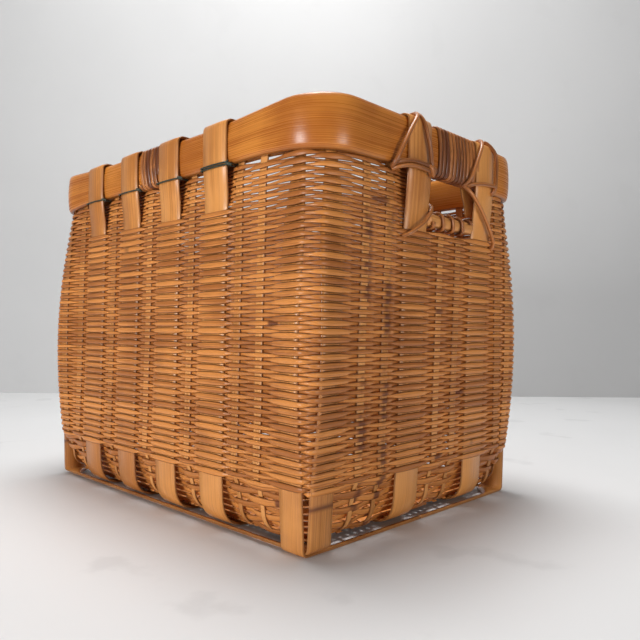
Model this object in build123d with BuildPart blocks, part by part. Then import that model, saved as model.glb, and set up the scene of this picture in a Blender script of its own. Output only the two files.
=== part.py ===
"""A square-cornered bamboo carrying basket with two hand grips, in millimetres.

X runs along the long side, Y across it and Z up. The origin is on the floor,
under the middle of the basket. The near long side is at -Y.
"""

import os
from math import cos, degrees, pi, radians, sin, tan

from build123d import *

os.makedirs("parts", exist_ok=True)

# Woven body: outer faces at the foot and the mouth, with corners that swell out between
foot_length, foot_width, foot_corner = 476.0, 348.0, 10.0
mouth_length, mouth_width, mouth_corner = 496.0, 338.0, 42.0
swell_along, swell_across, swell_run = 5.0, 8.5, 50.0
least_swell = 0.02
corner_facets = 4
wall_levels = 7
turn_height = 62.0
weave_thickness = 5.6
mat_thickness = 4.0
mat_lean = 7.0
mat_bend = 24.0
mat_bend_steps = 4

# Wide straps that go right round under the base and over the rim
strap_thickness = 2.2
strap_width = 38.0
strap_bend = 16.0
strap_lean = 3.5
strap_rim_bend = 6.0
bend_facets = 3
strap_exit_drop = 34.0
strap_leg_drop = 28.0
strap_leg_rise = 12.0
strap_loop_rise = 3.6
cross_strap_first = -144.0
cross_strap_pitch = 82.0
cross_strap_count = 4
length_strap_near = -33.0
length_strap_far = 89.0

# Tapered straps beside the near right corner, which end at the top of the weave
edge_strap_width = 29.0
edge_strap_top_width = 10.0
edge_strap_bend = 3.4
edge_taper_from = 270.0
edge_cross_at, edge_cross_top_at = 217.0, 218.8
edge_length_at, edge_length_top_at = -154.0, -149.5

# Rim: a domed outer band and a thinner inner band with the stake ends between
rim_top = 400.0
rim_height = 45.5
rim_gap = 4.5
rim_stand = 7.5
rim_crown = 3.4
rim_room = 3.0
rim_sink = 1.3
rim_facets = 6
inner_band_thickness = 5.2
inner_band_crown = 2.4
scarf_width = 0.6
scarf_run = 30.0

# Narrow stakes, seen where they rise from the weave into the rim
stake_width = 11.0
stake_rise = 40.0
corner_side_stakes = (139.0, 172.0)
end_stakes = (-108.0, -75.0, 123.0)
corner_stake_facets = (2, 4)
corner_stake_width = 8.0

# Split cane that binds the grips, the sills and the rim joint
cane_width = 5.9
cane_thickness = 2.4
cane_bend = 4.0
cane_bend_facets = 2
grip_turns = 12
joint_turns = 5
sill_turns = 4

# Sill bar under each grip opening
sill_drop = 35.0
sill_height = 14.0
sill_depth = 12.0
sill_round = 4.5
opening_overlap = 2.0

# Cords and wires that tie the straps
lashing_diameter = 4.0
lashing_bend = 5.4
lashing_sides = 8
lashing_drop = 6.0
lashing_spread = 3.5
lashing_out = 22.0
lashing_in = 5.0
wire_diameter = 1.8
wire_bend = 0.9
wire_sides = 6
wire_tail = 9.0
wire_split = 2.2

clearance = 0.3

# Levels worked out from the sizes above
under_cross = strap_thickness / 2
under_length = 1.5 * strap_thickness + clearance
mat_bottom = 2 * (strap_thickness + clearance)
rim_bottom = rim_top - rim_height
weave_top = rim_bottom - rim_gap
strap_exit = weave_top - strap_exit_drop
strap_leg_end = weave_top - strap_leg_drop
sill_top = weave_top - sill_drop
lashing_start = weave_top - lashing_drop
rim_length = mouth_length + 2 * rim_stand
rim_width = mouth_width + 2 * rim_stand
outer_band_thickness = rim_stand + rim_sink
stake_thickness = rim_room - 2 * clearance
inner_face = rim_sink + rim_room + inner_band_thickness
cross_straps_at = [cross_strap_first + i * cross_strap_pitch for i in range(cross_strap_count)]
long_side_stakes = [place - cross_strap_pitch / 2 for place in cross_straps_at]
long_side_stakes += corner_side_stakes
wall_height = weave_top - turn_height
wall_heights = [turn_height + i * wall_height / (wall_levels - 1) for i in range(wall_levels)]


def half_across(height):
    """Half width of the wall's flat faces (along Y) at a height."""
    return (foot_width + (mouth_width - foot_width) * (height - turn_height) / wall_height) / 2


def half_along(height):
    """Half length of the wall's flat faces (along X) at a height."""
    return (foot_length + (mouth_length - foot_length) * (height - turn_height) / wall_height) / 2


def ring_outline(face_x, face_y, radius, swell=0, facets=corner_facets):
    """Points round a rectangle whose rounded corners stand out by a share of the swell."""
    centre_x = face_x + swell * swell_along - radius
    centre_y = face_y + swell * swell_across - radius
    turns = [i * pi / 2 / facets for i in range(facets + 1)]
    quarter = [(centre_x + radius * cos(t), centre_y + radius * sin(t)) for t in turns]
    if swell:
        quarter.insert(0, (face_x, centre_y - swell * swell_run))
        quarter.append((centre_x - swell * swell_run, face_y))
    return (
        quarter
        + [(-x, y) for x, y in reversed(quarter)]
        + [(-x, -y) for x, y in quarter]
        + [(x, -y) for x, y in reversed(quarter)]
    )


def wall_outline(height, inset):
    """Points round the wall at a height, moved in from its outer face by the inset."""
    share = (height - turn_height) / wall_height
    return ring_outline(
        half_along(height) - inset,
        half_across(height) - inset,
        foot_corner + share**2 * (mouth_corner - foot_corner) - inset,
        least_swell + (1 - least_swell) * 4 * share * (1 - share),
    )


def wall_solid(inset):
    """Solid inside the wall's outer face, moved in by the inset."""
    with BuildPart() as solid:
        for height in wall_heights:
            with BuildSketch(Plane.XY.offset(height)):
                with BuildLine():
                    Polyline(*wall_outline(height, inset), close=True)
                make_face()
        loft(ruled=True)
    return solid.part


def strap_route(half_at, under, looped):
    """Points and bend radii of half a strap's middle line, from under the base.

    half_at gives the wall's half size at a height, under is the height of the
    run below the base, and looped says whether the top goes over the rim.
    """
    skin = clearance - strap_thickness / 2
    foot = half_at(turn_height) + skin
    points = [(0, under), (foot - strap_lean, under), (foot, turn_height)]
    if not looped:
        return points, [edge_strap_bend]
    mouth = half_at(weave_top)

    def leg_at(height):
        return half_at(height) - weave_thickness - clearance - strap_thickness / 2

    outside = mouth + rim_stand + clearance + strap_thickness / 2
    inside = mouth - inner_face - clearance - strap_thickness / 2
    loop = rim_top + strap_loop_rise + strap_thickness / 2
    points += [
        (half_at(strap_exit) + skin, strap_exit),
        (outside, rim_bottom - strap_thickness),
        (outside, loop),
        (inside, loop),
        (inside, rim_bottom - strap_thickness),
        (leg_at(strap_leg_end + strap_leg_rise), strap_leg_end + strap_leg_rise),
        (leg_at(strap_leg_end), strap_leg_end),
    ]
    return points, [strap_bend, 0, 0, 0, strap_rim_bend, strap_rim_bend, 0, 0]


def faceted(points, radii):
    """A route with each rounded bend made of flat facets."""
    line = [Vector(*points[0])]
    for before, here, after, radius in zip(points, points[1:], points[2:], radii):
        corner = Vector(*here)
        if not radius:
            line.append(corner)
            continue
        ways = [(Vector(*point) - corner).normalized() for point in (before, after)]
        half = radians(ways[0].get_angle(ways[1])) / 2
        turn = pi - 2 * half
        middle = corner + (ways[0] + ways[1]).normalized() * (radius / sin(half))
        first, last = [corner + way * (radius / tan(half)) - middle for way in ways]
        for step in range(bend_facets + 1):
            share = step / bend_facets
            spoke = first * sin((1 - share) * turn) + last * sin(share * turn)
            line.append(middle + spoke * (1 / sin(turn)))
    return line + [Vector(*points[-1])]


def strap_section(points, radii):
    """Outline of a strap seen edge on along a route, mitred where it bends."""
    line = faceted(points, radii)
    ways = [(q - p).normalized() for p, q in zip(line, line[1:])]
    mitres = []
    for before, after in zip(ways[:1] + ways, ways + ways[-1:]):
        across = Vector(-before.Y - after.Y, before.X + after.X)
        mitres.append(across * (strap_thickness / 2 / (1 + before.dot(after))))
    upper = [p + m for p, m in zip(line, mitres)]
    lower = [p - m for p, m in zip(line, mitres)]
    return upper + lower[::-1]


def edge_outline(foot_at, top_at, margin):
    """Outline of a tapered strap seen square on, wide below, grown by a margin."""
    low, high = edge_strap_width / 2 + margin, edge_strap_top_width / 2 + margin
    return [
        (foot_at - low, -1),
        (foot_at + low, -1),
        (foot_at + low, edge_taper_from),
        (top_at + high, weave_top),
        (top_at + high, rim_top),
        (top_at - high, rim_top),
        (top_at - high, weave_top),
        (foot_at - low, edge_taper_from),
    ]


def edge_band(flat, inner, foot_at, top_at, margin):
    """Tapered strap's outline carried outwards through the two walls that it lies on."""
    with BuildPart() as band:
        for side in (-1, 1):
            with BuildSketch(flat.offset(side * inner)):
                with BuildLine():
                    Polyline(*edge_outline(foot_at, top_at, margin), close=True)
                make_face()
            extrude(amount=side * foot_width)
    return band.part


def cane_outline():
    """Points round split cane: (out from the bar, along the winding)."""
    half = cane_width / 2
    crown = [(0.7 * cane_thickness, 0.62 * half)]
    return (
        [(0, -half)]
        + [(x, -y) for x, y in crown]
        + [(cane_thickness, 0)]
        + crown
        + [(0, half)]
    )


def cane_winding(turns, width, height, pitch):
    """Split cane wound round a bar along Y, as one unbroken length.

    width and height are the inner size of the turns. The pitch is taken up on
    the top and bottom runs, so the flat side of the cane stays on the bar.
    """
    inner_w, inner_h = width / 2 - cane_bend, height / 2 - cane_bend
    step = pi / 2 / cane_bend_facets
    bend = [((i + 0.5) * step, cos(step / 2)) for i in range(cane_bend_facets)]
    below, above = [(-pi / 2, 1)], [(pi / 2, 1)]
    corners = (
        (1, -1, 0, [(-t, s) for t, s in bend] + below),
        (-1, -1, 0.5, below + [(-pi / 2 - t, s) for t, s in bend]),
        (-1, 1, 0.5, [(pi - t, s) for t, s in bend] + above),
        (1, 1, 1, above + [(pi / 2 - t, s) for t, s in bend]),
    )
    with BuildPart() as winding:
        rings = [(0, 0, 0, 0, width / 2, 1)]
        for turn in range(turns):
            for side, end, share, angles in corners:
                along = (turn + share) * pitch
                for angle, stretch in angles:
                    rings.append(
                        (side * inner_w, along, end * inner_h, angle, cane_bend, stretch)
                    )
        rings.append((0, turns * pitch, 0, 0, width / 2, 1))
        for x, y, z, angle, reach, stretch in rings:
            plane = Plane(
                origin=(x, y, z), x_dir=(cos(angle), 0, sin(angle)), z_dir=(-sin(angle), 0, cos(angle))
            )
            with BuildSketch(plane):
                with BuildLine():
                    Polyline(
                        *[((reach + out) / stretch, wide) for out, wide in cane_outline()],
                        close=True,
                    )
                make_face()
        loft(ruled=True)
    return winding.part


def eased(points, cut):
    """The points of a cord's route with each corner cut off."""
    line = [points[0]]
    for before, corner, after in zip(points, points[1:], points[2:]):
        for other in (before, after):
            length = sum((o - c) ** 2 for o, c in zip(other, corner)) ** 0.5
            share = min(cut / length, 0.45)
            line.append(tuple(c + (o - c) * share for o, c in zip(other, corner)))
    return line + [points[-1]]


def cord(route, radius, sides):
    """Round cord along a route, mitred where it bends."""
    points = [Vector(*p) for p in route]
    ways = [(q - p).normalized() for p, q in zip(points, points[1:])]
    start = Plane(origin=points[0], z_dir=ways[0])
    turns = [2 * pi * i / sides for i in range(sides)]
    ring = [start.from_local_coords(Vector(radius * cos(t), radius * sin(t), 0)) for t in turns]
    with BuildPart() as tube:
        for number, point in enumerate(points):
            way = ways[max(number - 1, 0)]
            ahead = ways[min(number, len(ways) - 1)]
            across = (way + ahead).normalized()
            ring = [c + way * ((point - c).dot(across) / way.dot(across)) for c in ring]
            plane = Plane(origin=point, z_dir=across)
            flat = [plane.to_local_coords(c) for c in ring]
            with BuildSketch(plane):
                with BuildLine():
                    Polyline(*[(c.X, c.Y) for c in flat], close=True)
                make_face()
        loft(ruled=True)
    return tube.part


def least_gap(turns, width, height, pitch):
    """Least gap between neighbouring turns, measured on points along the middle line."""
    half_w, half_h = width / 2 + cane_thickness / 2, height / 2 + cane_thickness / 2
    corners = []
    for turn in range(turns):
        here = turn * pitch
        corners += [
            (half_w, here, half_h),
            (half_w, here, -half_h),
            (-half_w, here + pitch / 2, -half_h),
            (-half_w, here + pitch / 2, half_h),
        ]
    samples = [
        [tuple(p + (q - p) * k / 40 for p, q in zip(first, last)) for k in range(40)]
        for first, last in zip(corners, corners[1:])
    ]
    nearest = min(
        sum((p - q) ** 2 for p, q in zip(one, other)) ** 0.5
        for side, later in zip(samples, samples[4:])
        for one in side
        for other in later
    )
    return nearest - cane_width


# Base mat: a shallow woven tray whose edge bends up in steps of a quarter turn
mat_half_length = foot_length / 2 - strap_thickness
mat_half_width = foot_width / 2 - strap_thickness
bend_steps = [i * pi / 2 / mat_bend_steps for i in range(mat_bend_steps + 1)]
with BuildPart() as base_mat:
    for skin, mode in ((0, Mode.ADD), (mat_thickness, Mode.SUBTRACT)):
        radius = mat_bend - skin
        levels = [
            (mat_bottom + skin + radius * (1 - cos(t)), mat_lean + skin + radius * (1 - sin(t)))
            for t in bend_steps
        ]
        for level, inset in levels + [(turn_height, skin)]:
            with BuildSketch(Plane.XY.offset(level)):
                with BuildLine():
                    Polyline(
                        *ring_outline(
                            mat_half_length - inset, mat_half_width - inset, foot_corner - skin / 2
                        ),
                        close=True,
                    )
                make_face()
        loft(ruled=True, mode=mode)
base_mat.part.label = "base_mat"
export_step(base_mat.part, "parts/base_mat.step")

# Cross straps, which run under the base along Y
route, bends = strap_route(half_across, under_cross, True)
with BuildSketch(Plane.YZ) as cross_profile:
    with BuildLine():
        Polyline(*strap_section(route, bends), close=True)
    make_face()
    mirror(about=Plane.YZ)
for number, place in enumerate(cross_straps_at, start=1):
    with BuildPart() as cross_strap:
        with BuildSketch(Plane.YZ.offset(place)):
            add(cross_profile.sketch_local)
        extrude(amount=strap_width / 2, both=True)
    cross_strap.part.label = f"cross_strap_{number}"
    export_step(cross_strap.part, f"parts/cross_strap_{number}.step")

# The tapered cross strap beside the near right corner: its foot, and its run up the wall
strap_skin = wall_solid(-clearance)
strap_core = wall_solid(strap_thickness - clearance)
route, bends = strap_route(half_across, under_cross, False)
with BuildPart() as cross_strap_edge:
    with BuildSketch(Plane.YZ.offset(edge_cross_at)):
        with BuildLine():
            Polyline(*strap_section(route, bends), close=True)
        make_face()
        mirror(about=Plane.YZ)
    extrude(amount=edge_strap_width / 2, both=True)
    with BuildPart(mode=Mode.PRIVATE) as run:
        add(strap_skin)
        add(strap_core, mode=Mode.SUBTRACT)
        band = edge_band(Plane.XZ, -edge_length_at, edge_cross_at, edge_cross_top_at, 0)
        add(band, mode=Mode.INTERSECT)
    add(run.part)
cross_strap_edge.part.label = "cross_strap_edge"
export_step(cross_strap_edge.part, "parts/cross_strap_edge.step")

# Length straps, which run under the base along X, above the cross straps
route, bends = strap_route(half_along, under_length, True)
with BuildSketch(Plane.XZ) as length_profile:
    with BuildLine():
        Polyline(*strap_section(route, bends), close=True)
    make_face()
    mirror(about=Plane.YZ)
for number, place in enumerate((length_strap_near, length_strap_far), start=1):
    with BuildPart() as length_strap:
        with BuildSketch(Plane.XZ.offset(-place)):
            add(length_profile.sketch_local)
        extrude(amount=strap_width / 2, both=True)
    length_strap.part.label = f"length_strap_{number}"
    export_step(length_strap.part, f"parts/length_strap_{number}.step")

# The tapered length strap: under the base it is trimmed to pass inside the cross straps
route, bends = strap_route(half_along, under_length, False)
with BuildPart() as length_strap_edge:
    with BuildSketch(Plane.XZ.offset(-edge_length_at)):
        with BuildLine():
            Polyline(*strap_section(route, bends), close=True)
        make_face()
        mirror(about=Plane.YZ)
    extrude(amount=edge_strap_width / 2, both=True)
    for reach, bend in (
        (edge_cross_at - edge_strap_width / 2 - clearance, strap_bend),
        (edge_cross_at + edge_strap_width / 2 + clearance, edge_strap_bend),
    ):
        trim_at = half_across(turn_height) - strap_lean - bend - strap_thickness
        with Locations((0, -trim_at, 0)):
            Box(
                2 * reach,
                foot_width,
                strap_bend,
                align=(Align.CENTER, Align.MAX, Align.MIN),
                mode=Mode.SUBTRACT,
            )
    with BuildPart(mode=Mode.PRIVATE) as run:
        add(strap_skin)
        add(strap_core, mode=Mode.SUBTRACT)
        band = edge_band(Plane.YZ, edge_cross_at, edge_length_at, edge_length_top_at, 0)
        add(band, mode=Mode.INTERSECT)
    add(run.part)
length_strap_edge.part.label = "length_strap_edge"
export_step(length_strap_edge.part, "parts/length_strap_edge.step")

# Side weave: the wall, with a groove for every strap and a notch at each grip
grip_from = length_strap_near + strap_width / 2
grip_to = length_strap_far - strap_width / 2
grip_middle = (grip_from + grip_to) / 2
notch_width = grip_to - grip_from + 2 * opening_overlap
notch_bottom = sill_top - sill_height - cane_thickness - 2 * clearance
groove_width = strap_width + 2 * clearance
box_low = (Align.CENTER, Align.CENTER, Align.MIN)
with BuildPart() as strap_grooves:
    with Locations(*[(place, 0, 0) for place in cross_straps_at]):
        Box(groove_width, foot_width + mouth_width, rim_top, align=box_low)
    with Locations((0, length_strap_near, 0), (0, length_strap_far, 0)):
        Box(foot_length + mouth_length, groove_width, rim_top, align=box_low)
    add(edge_band(Plane.XZ, -edge_length_at, edge_cross_at, edge_cross_top_at, clearance))
    add(edge_band(Plane.YZ, edge_cross_at, edge_length_at, edge_length_top_at, clearance))
    add(wall_solid(strap_thickness), mode=Mode.SUBTRACT)
with BuildPart() as side_weave:
    add(wall_solid(0))
    add(wall_solid(weave_thickness), mode=Mode.SUBTRACT)
    add(strap_grooves.part, mode=Mode.SUBTRACT)
    with BuildSketch(Plane.YZ):
        with Locations((grip_middle, notch_bottom)):
            Rectangle(notch_width, rim_top - notch_bottom, align=(Align.CENTER, Align.MIN))
    extrude(amount=mouth_length, both=True, mode=Mode.SUBTRACT)
side_weave.part.label = "side_weave"
export_step(side_weave.part, "parts/side_weave.step")

# The rim bands' ends lap between the second and third cross straps
joint_from = cross_straps_at[1] + strap_width / 2
joint_to = cross_straps_at[2] - strap_width / 2
joint_middle = (joint_from + joint_to) / 2

# Stake ends that stand on the weave and reach up between the rim bands
stand_y = mouth_width / 2 - rim_sink - rim_room / 2
stand_x = mouth_length / 2 - rim_sink - rim_room / 2
stand_corner = mouth_corner - rim_sink - rim_room / 2
for name, side in (("front", -1), ("back", 1)):
    with BuildPart() as stake_ends:
        spots = [
            (x, side * stand_y, weave_top)
            for x in long_side_stakes
            if side > 0 or not joint_from < x < joint_to
        ]
        with Locations(*spots):
            Box(stake_width, stake_thickness, stake_rise, align=box_low)
        for end in (-1, 1):
            for facet in corner_stake_facets:
                turn = (facet + 0.5) * pi / 2 / rim_facets
                reach = stand_corner * cos(pi / 4 / rim_facets)
                x = end * (stand_x - stand_corner + reach * cos(turn))
                y = side * (stand_y - stand_corner + reach * sin(turn))
                angle = degrees(turn) if end * side > 0 else -degrees(turn)
                with Locations(Location((x, y, weave_top), (0, 0, angle))):
                    Box(stake_thickness, corner_stake_width, stake_rise, align=box_low)
    stake_ends.part.label = f"stake_ends_{name}"
    export_step(stake_ends.part, f"parts/stake_ends_{name}.step")
for name, side in (("left", -1), ("right", 1)):
    with BuildPart() as stake_ends:
        spots = [(side * stand_x, y, weave_top) for y in end_stakes]
        with Locations(*spots):
            Box(stake_thickness, stake_width, stake_rise, align=box_low)
    stake_ends.part.label = f"stake_ends_{name}"
    export_step(stake_ends.part, f"parts/stake_ends_{name}.step")

# Rim bands: split bamboo, flat on the stake side and domed on the other, with one slanting scarf
rim_middle = rim_top - rim_height / 2


def rim_ring(out):
    """Points round the rim, at a distance out from the mouth."""
    return ring_outline(
        mouth_length / 2 + out, mouth_width / 2 + out, mouth_corner + out, facets=rim_facets
    )



def rim_band(face, thickness, crown):
    """Band whose flat side lies at face and whose domed side stands out by thickness."""
    edge = thickness - crown
    shoulder = thickness - 0.3 * crown
    steps = [i * rim_height / 4 for i in range(-2, 3)]
    with BuildPart() as domed:
        for step, reach in zip(steps, (edge, shoulder, thickness, shoulder, edge)):
            with BuildSketch(Plane.XY.offset(rim_middle + step)):
                with BuildLine():
                    Polyline(*rim_ring(face + reach), close=True)
                make_face()
        loft(ruled=True)
    with BuildPart() as flat:
        with BuildSketch(Plane.XY.offset(rim_bottom)):
            with BuildLine():
                Polyline(*rim_ring(face), close=True)
            make_face()
        extrude(amount=rim_height)
    return domed.part, flat.part


domed, flat = rim_band(-rim_sink, outer_band_thickness, rim_crown)
with BuildPart() as rim_outer_band:
    add(domed)
    add(flat, mode=Mode.SUBTRACT)
    with BuildSketch(Plane.XY.offset(rim_bottom - 1)):
        with BuildLine():
            near, far = -rim_width / 2 - 1, -rim_width / 2 + outer_band_thickness + 1
            Polyline(
                (joint_middle - scarf_run / 2, near),
                (joint_middle - scarf_run / 2 + scarf_width * 3, near),
                (joint_middle + scarf_run / 2 + scarf_width * 3, far),
                (joint_middle + scarf_run / 2, far),
                close=True,
            )
        make_face()
    extrude(amount=rim_height + 2, mode=Mode.SUBTRACT)
rim_outer_band.part.label = "rim_outer_band"
export_step(rim_outer_band.part, "parts/rim_outer_band.step")

domed, flat = rim_band(-rim_sink - rim_room, -inner_band_thickness, -inner_band_crown)
with BuildPart() as rim_inner_band:
    add(flat)
    add(domed, mode=Mode.SUBTRACT)
    with BuildSketch(Plane.XY.offset(rim_bottom - 1)):
        with BuildLine():
            far = mouth_width / 2 - rim_sink - rim_room + 1
            near = mouth_width / 2 - inner_face - 1
            Polyline(
                (joint_middle - scarf_run / 2, near),
                (joint_middle - scarf_run / 2 + scarf_width * 3, near),
                (joint_middle + scarf_run / 2 + scarf_width * 3, far),
                (joint_middle + scarf_run / 2, far),
                close=True,
            )
        make_face()
    extrude(amount=rim_height + 2, mode=Mode.SUBTRACT)
rim_inner_band.part.label = "rim_inner_band"
export_step(rim_inner_band.part, "parts/rim_inner_band.step")


# Grip windings: the rim between the two length straps, bound in cane
bound = grip_to - grip_from
stack = rim_stand + inner_face
grip_wide = stack + 2 * clearance
grip_high = rim_height + 2 * clearance
grip_pitch = (bound - cane_width - 2 * clearance) / grip_turns
grip_across = (rim_length / 2 + mouth_length / 2 - inner_face) / 2
grip_start = grip_from + clearance + cane_width / 2
with BuildPart() as grip_winding_right:
    with Locations((grip_across, grip_start, rim_middle)):
        add(cane_winding(grip_turns, grip_wide, grip_high, grip_pitch))
grip_winding_right.part.label = "grip_winding_right"
export_step(grip_winding_right.part, "parts/grip_winding_right.step")
gap = least_gap(grip_turns, grip_wide, grip_high, grip_pitch)
print(f"grip winding, least gap to itself {gap:.2f} mm")

with BuildPart() as grip_winding_left:
    add(mirror(grip_winding_right.part, about=Plane.YZ, mode=Mode.PRIVATE))
grip_winding_left.part.label = "grip_winding_left"
export_step(grip_winding_left.part, "parts/grip_winding_left.step")

# Rim joint winding, on the near side over the scarf
joint_margin = wire_diameter + 3 * clearance
joint_pitch = (joint_to - joint_from - cane_width - 2 * joint_margin) / joint_turns
joint_across = (rim_width / 2 + mouth_width / 2 - inner_face) / 2
joint_start = joint_from + joint_margin + cane_width / 2
with BuildPart() as rim_joint_winding:
    with Locations(Location((joint_start, -joint_across, rim_middle), (0, 0, -90))):
        add(cane_winding(joint_turns, grip_wide, grip_high, joint_pitch))
rim_joint_winding.part.label = "rim_joint_winding"
export_step(rim_joint_winding.part, "parts/rim_joint_winding.step")
gap = least_gap(joint_turns, grip_wide, grip_high, joint_pitch)
print(f"rim joint winding, least gap to itself {gap:.2f} mm")

# Sill bars that finish the lower edge of each grip opening, and their bindings
sill_middle = sill_top - sill_height / 2
sill_across = half_along(sill_middle) - weave_thickness / 2
sill_pitch = (bound - cane_width - 2 * clearance) / sill_turns
with BuildPart() as sill_bar_right:
    with BuildSketch(Plane.XZ.offset(-grip_from - clearance)):
        with Locations((sill_across, sill_middle)):
            Rectangle(sill_depth, sill_height)
        chamfer(vertices(), sill_round)
    extrude(amount=-(bound - 2 * clearance))
sill_bar_right.part.label = "sill_bar_right"
export_step(sill_bar_right.part, "parts/sill_bar_right.step")

sill_wide = sill_depth + 2 * clearance
sill_high = sill_height + 2 * clearance
with BuildPart() as sill_winding_right:
    with Locations((sill_across, grip_start, sill_middle)):
        add(cane_winding(sill_turns, sill_wide, sill_high, sill_pitch))
sill_winding_right.part.label = "sill_winding_right"
export_step(sill_winding_right.part, "parts/sill_winding_right.step")
gap = least_gap(sill_turns, sill_wide, sill_high, sill_pitch)
print(f"sill winding, least gap to itself {gap:.2f} mm")

with BuildPart() as sill_bar_left:
    add(mirror(sill_bar_right.part, about=Plane.YZ, mode=Mode.PRIVATE))
sill_bar_left.part.label = "sill_bar_left"
export_step(sill_bar_left.part, "parts/sill_bar_left.step")

with BuildPart() as sill_winding_left:
    add(mirror(sill_winding_right.part, about=Plane.YZ, mode=Mode.PRIVATE))
sill_winding_left.part.label = "sill_winding_left"
export_step(sill_winding_left.part, "parts/sill_winding_left.step")

# Lashings: a cord over each strap at the grips, down to a foot on either side of it
lash_half = lashing_diameter / 2
strap_face = half_along(weave_top) + rim_stand + clearance + strap_thickness
lash_outside = strap_face + clearance + lash_half
lash_inside = half_along(weave_top) - inner_face - strap_thickness - 2 * clearance - lash_half
lash_top = rim_top + strap_loop_rise + strap_thickness + clearance + lash_half
lash_foot = rim_bottom - lashing_diameter
half_strap = strap_width / 2
for label, place, low_foot, high_foot in (
    ("near", length_strap_near, lashing_out, lashing_in),
    ("far", length_strap_far, lashing_in, lashing_out / 4),
):
    route = [
        (lash_inside, place - lashing_spread, lashing_start),
        (lash_inside, place - lashing_spread, lash_top),
        (lash_outside, place - lashing_spread, lash_top),
        (lash_outside, place - half_strap - low_foot, lash_foot),
        (lash_outside, place + half_strap + high_foot, lash_foot - lash_half),
        (lash_outside, place + lashing_spread, lash_top),
        (lash_inside, place + lashing_spread, lash_top),
        (lash_inside, place + lashing_spread, lashing_start),
    ]
    lashing = cord(eased(eased(route, lashing_bend), lashing_bend / 3), lash_half, lashing_sides)
    for side in ("right", "left"):
        with BuildPart() as grip_lashing:
            if side == "right":
                add(lashing)
            else:
                add(mirror(lashing, about=Plane.YZ, mode=Mode.PRIVATE))
        grip_lashing.part.label = f"grip_lashing_{side}_{label}"
        export_step(grip_lashing.part, f"parts/grip_lashing_{side}_{label}.step")

# Wire ties: one round each looped cross strap, just under the rim, with two tails
wire_half = wire_diameter / 2
wire_level = (weave_top + rim_bottom) / 2
wire_out = half_across(weave_top) + rim_stand + strap_thickness + 2 * clearance + wire_half
wire_in = half_across(weave_top) - inner_face - strap_thickness - 2 * clearance - wire_half
wire_reach = half_strap + clearance + wire_half
for name, side in (("front", -1), ("back", 1)):
    with BuildPart() as wire_ties:
        for place in cross_straps_at:
            left, right = place - wire_reach, place + wire_reach
            route = [
                (right + wire_tail, side * wire_out, wire_level - wire_split / 2),
                (left, side * wire_out, wire_level - wire_split / 2),
                (left, side * wire_in, wire_level),
                (right, side * wire_in, wire_level),
                (right, side * wire_out, wire_level + wire_split / 2),
                (right + wire_tail, side * wire_out, wire_level + wire_split / 2),
            ]
            add(cord(eased(route, wire_bend), wire_half, wire_sides))
    wire_ties.part.label = f"wire_ties_{name}"
    export_step(wire_ties.part, f"parts/wire_ties_{name}.step")
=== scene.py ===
"""A woven bamboo carrying basket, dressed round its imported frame.

Metres throughout: X runs along the long side, the near long side is at -Y, Z is up.
"""

import logging
import math
from dataclasses import dataclass, field, replace
from enum import Enum

import bpy
from mathutils import Matrix, Vector, noise


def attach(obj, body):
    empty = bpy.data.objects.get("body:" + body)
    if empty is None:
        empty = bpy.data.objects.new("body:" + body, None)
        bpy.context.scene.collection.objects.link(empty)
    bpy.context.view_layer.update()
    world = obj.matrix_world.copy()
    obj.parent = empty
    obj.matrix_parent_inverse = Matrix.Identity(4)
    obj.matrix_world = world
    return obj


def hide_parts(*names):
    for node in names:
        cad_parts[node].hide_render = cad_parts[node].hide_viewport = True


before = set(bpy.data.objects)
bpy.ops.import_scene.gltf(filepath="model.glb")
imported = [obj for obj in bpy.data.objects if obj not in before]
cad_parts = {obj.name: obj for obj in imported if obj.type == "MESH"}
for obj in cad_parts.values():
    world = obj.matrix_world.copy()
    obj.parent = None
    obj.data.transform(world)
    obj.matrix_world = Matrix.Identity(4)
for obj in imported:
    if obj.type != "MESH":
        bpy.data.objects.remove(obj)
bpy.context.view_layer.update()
log = logging.getLogger("basket")

Colour = tuple[float, float, float]
Place = tuple[float, float, float]
Levels = tuple[float, float, float]
Profile = tuple[tuple[float, float], ...]
Socket = bpy.types.NodeSocket

UP = Vector((0, 0, 1))
CROSS_AT = (-0.144, -0.062, 0.020, 0.102)
LENGTH_AT = (-0.033, 0.089)
STAKES_FRONT = (-0.185, -0.103, -0.021, 0.061, 0.139, 0.172)
STAKES_RIGHT = (-0.108, -0.075, 0.0127, 0.0458)
EDGE_CROSS_AT = (0.217, 0.2190)
EDGE_LENGTH_AT = (-0.154, -0.1507)
LEANS = (-0.0075, 0.0085)
RIM_MIDDLE = 0.37725
SILL_LEVEL = 0.308
ENDS = (("right", 1), ("left", -1))
STRAIGHT = 1.56
LONGEST_REACH = 0.48
STRAND_END = 0.72


def smooth(value: float, low: float, high: float) -> float:
    """Eases from 0 at low to 1 at high."""
    share = min(max((value - low) / (high - low), 0.0), 1.0)
    return share * share * (3 - 2 * share)


def between(first: float, second: float, share: float) -> float:
    """The size at a share of the way from the first to the second."""
    return first + (second - first) * share


def heading(line: list[Vector], i: int) -> Vector:
    """The unit direction of a line at one of its points."""
    return (line[min(i + 1, len(line) - 1)] - line[max(i - 1, 0)]).normalized()


def tube(base: int, count: int, rings: int, closed: bool = False) -> list[tuple[int, ...]]:
    """Faces between rings of points, and at both ends where the tube is open.

    Args:
        base: the number of the first point.
        count: how many points each ring has.
        rings: how many rings there are.
        closed: whether the last ring meets the first.

    Returns:
        The faces.
    """
    faces = []
    for i in range(rings if closed else rings - 1):
        here, there = base + i * count, base + (i + 1) % rings * count
        for j in range(count):
            k = (j + 1) % count
            faces.append((here + j, here + k, there + k, there + j))
    if not closed:
        last = base + (rings - 1) * count
        faces += [tuple(range(base, base + count))[::-1], tuple(range(last, last + count))]
    return faces


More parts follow.
